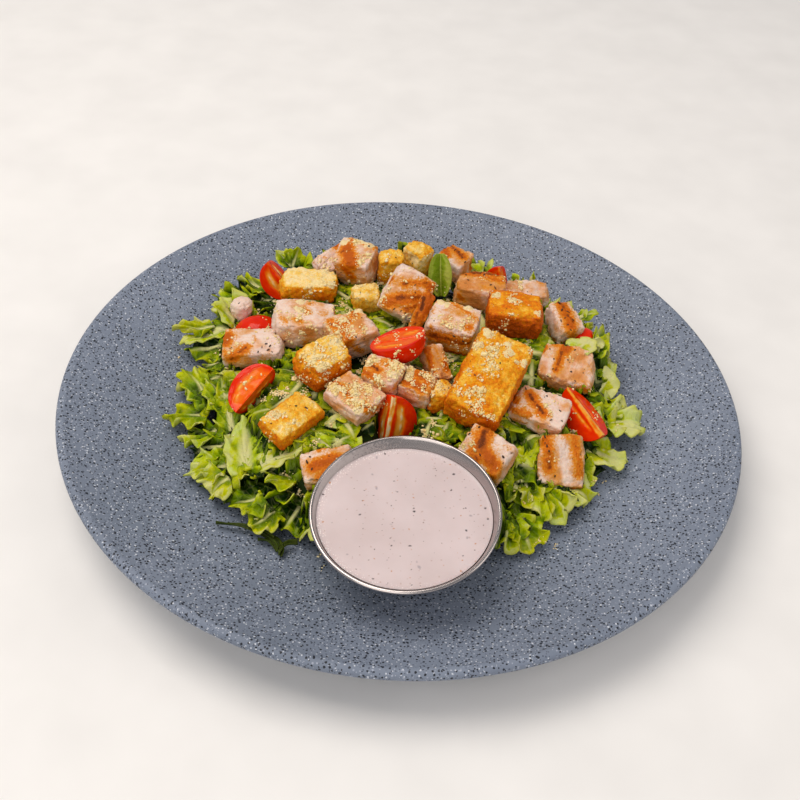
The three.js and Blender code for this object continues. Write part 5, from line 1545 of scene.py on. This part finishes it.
def first_hit(start, way):
    """The nearest finished piece along a line: its name, the place, and the way its surface faces there."""
    best = None
    for name, tree in food_trees.items():
        spot, normal, _, distance = tree.ray_cast(start, way)
        if spot is not None and (best is None or distance < best[0]):
            best = (distance, name, spot, normal if normal.dot(way) < 0 else -normal)
    return best[1:] if best else (None, None, None)


def crumbs_at(rng, places, ways, sizes, form, sink, uneven):
    """Uneven crumbs at places, each lying against a surface that faces its way and sunk into it a little."""
    points, faces = [], []
    for k, (place, way, size) in enumerate(zip(places, ways, sizes)):
        turn = np.array(Vector((0, 0, 1)).rotation_difference(Vector(way)).to_matrix())
        spin = np.array(Matrix.Rotation(rng.uniform(0, 6.28), 3, "Z"))
        shape = crumb_form * rng.uniform(1 - uneven, 1 + uneven, (len(crumb_form), 1))
        shape = shape * form * rng.uniform(0.7, 1.3, 3) * size / 2
        points.append(shape @ spin.T @ turn.T + place + way * size * form[2] * (0.5 - sink))
        faces.append(crumb_faces + k * len(crumb_form))
    return np.concatenate(points), np.concatenate(faces)


rng = np.random.default_rng(77)
places, ways = [], []
for count, pixel, spread in CHEESE:
    clumps = rng.normal(pixel, spread, (max(3, count // CLUMP_OF), 2))
    for _ in range(int(CRUMBS_PER_UNIT * count)):
        x, y = clumps[rng.integers(len(clumps))] + rng.normal(0, CLUMP_SPREAD, 2)
        name, spot, normal = first_hit(camera.location, line_of_sight(x, y))
        bare = name in BARE or (name == "plate_glazed" and count > 6)
        if not bare and rng.uniform() < normal.z + 0.45:  # steep faces hold fewer
            places.append(np.array(spot))
            ways.append(np.array(normal))
for _ in range(STRAY_CRUMBS):
    x, y = rng.uniform(-STRAY_REACH, STRAY_REACH, 2)
    name, spot, normal = first_hit(Vector((x, y, STRAY_FROM)) * MM, Vector((0, 0, -1)))
    if heap_part(x, y) < BED_PART and name not in BARE:
        if in_front(np.array(spot)[None] / MM)[0] or name.startswith(("chicken", "crouton")):
            places.append(np.array(spot))
            ways.append(np.array(normal))
sizes = np.clip(rng.lognormal(math.log(CRUMB_SIZE), 0.45, len(places)), *CRUMB_RANGE) * MM
points, faces = crumbs_at(rng, np.array(places), np.array(ways), sizes, CRUMB_SHAPE, 0.25, 0.35)
parmesan_piece = piece_from_arrays("parmesan_crumbs", points, faces)

# Hard cheese, grated: ivory yellow crumbs with a waxy, slightly see-through body.
grated_parmesan, place = new_material("grated_parmesan")
tint = add_node(grated_parmesan, "TexNoise", {"Vector": place, "Scale": 520, "Detail": 2}).outputs["Fac"]
ivories = [(0.3, "#e9c67a"), (0.5, "#f2dba0"), (0.72, "#f9ebc6")]
ivory = add_node(grated_parmesan, "ValToRGB", {"Fac": tint}, ivories)
shader = add_node(
    grated_parmesan,
    "BsdfPrincipled",
    {
        "Base Color": ivory.outputs["Color"],
        "Roughness": 0.5,
        "IOR": 1.44,
        "Specular IOR Level": 0.3,
        "Subsurface Weight": 0.1,
        "Subsurface Radius": (1.0, 0.7, 0.4),
        "Subsurface Scale": 0.8 * MM,
    },
)
add_node(grated_parmesan, "OutputMaterial", {"Surface": shader.outputs["BSDF"]})
parmesan_piece.data.materials.append(grated_parmesan)
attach(parmesan_piece, "root")

places, ways, sizes = [], [], []
for x, y in PEPPER:
    name, spot, normal = first_hit(camera.location, line_of_sight(x, y))
    if name:
        places.append(np.array(spot))
        ways.append(np.array(normal))
        sizes.append(rng.uniform(0.8, 1.25) * MM)
for piece in food:
    if not piece.name.startswith(("chicken", "crouton")):
        continue
    points, normals = points_of(piece.data), points_of(piece.data, "normal")
    upward = np.flatnonzero(normals[:, 2] > -0.1)
    for index in upward[rng.integers(len(upward), size=PEPPER_EACH)]:
        places.append(points[index])
        ways.append(normals[index])
        sizes.append(rng.uniform(0.35, 0.7) * MM)
points, faces = crumbs_at(rng, np.array(places), np.array(ways), np.array(sizes), FLAKE_SHAPE, 0.2, 0.25)
pepper_piece = piece_from_arrays("ground_pepper", points, faces)

# Ground black pepper: hard dry flakes from near black to dark brown.
black_pepper, place = new_material("ground_black_pepper")
tint = add_node(black_pepper, "TexNoise", {"Vector": place, "Scale": 300}).outputs["Fac"]
tint = add_node(black_pepper, "ValToRGB", {"Fac": tint}, [(0.35, "#1a120e"), (0.65, "#4a2c18")])
shader = add_node(black_pepper, "BsdfPrincipled", {"Base Color": tint.outputs["Color"], "Roughness": 0.6})
add_node(black_pepper, "OutputMaterial", {"Surface": shader.outputs["BSDF"]})
pepper_piece.data.materials.append(black_pepper)
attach(pepper_piece, "root")
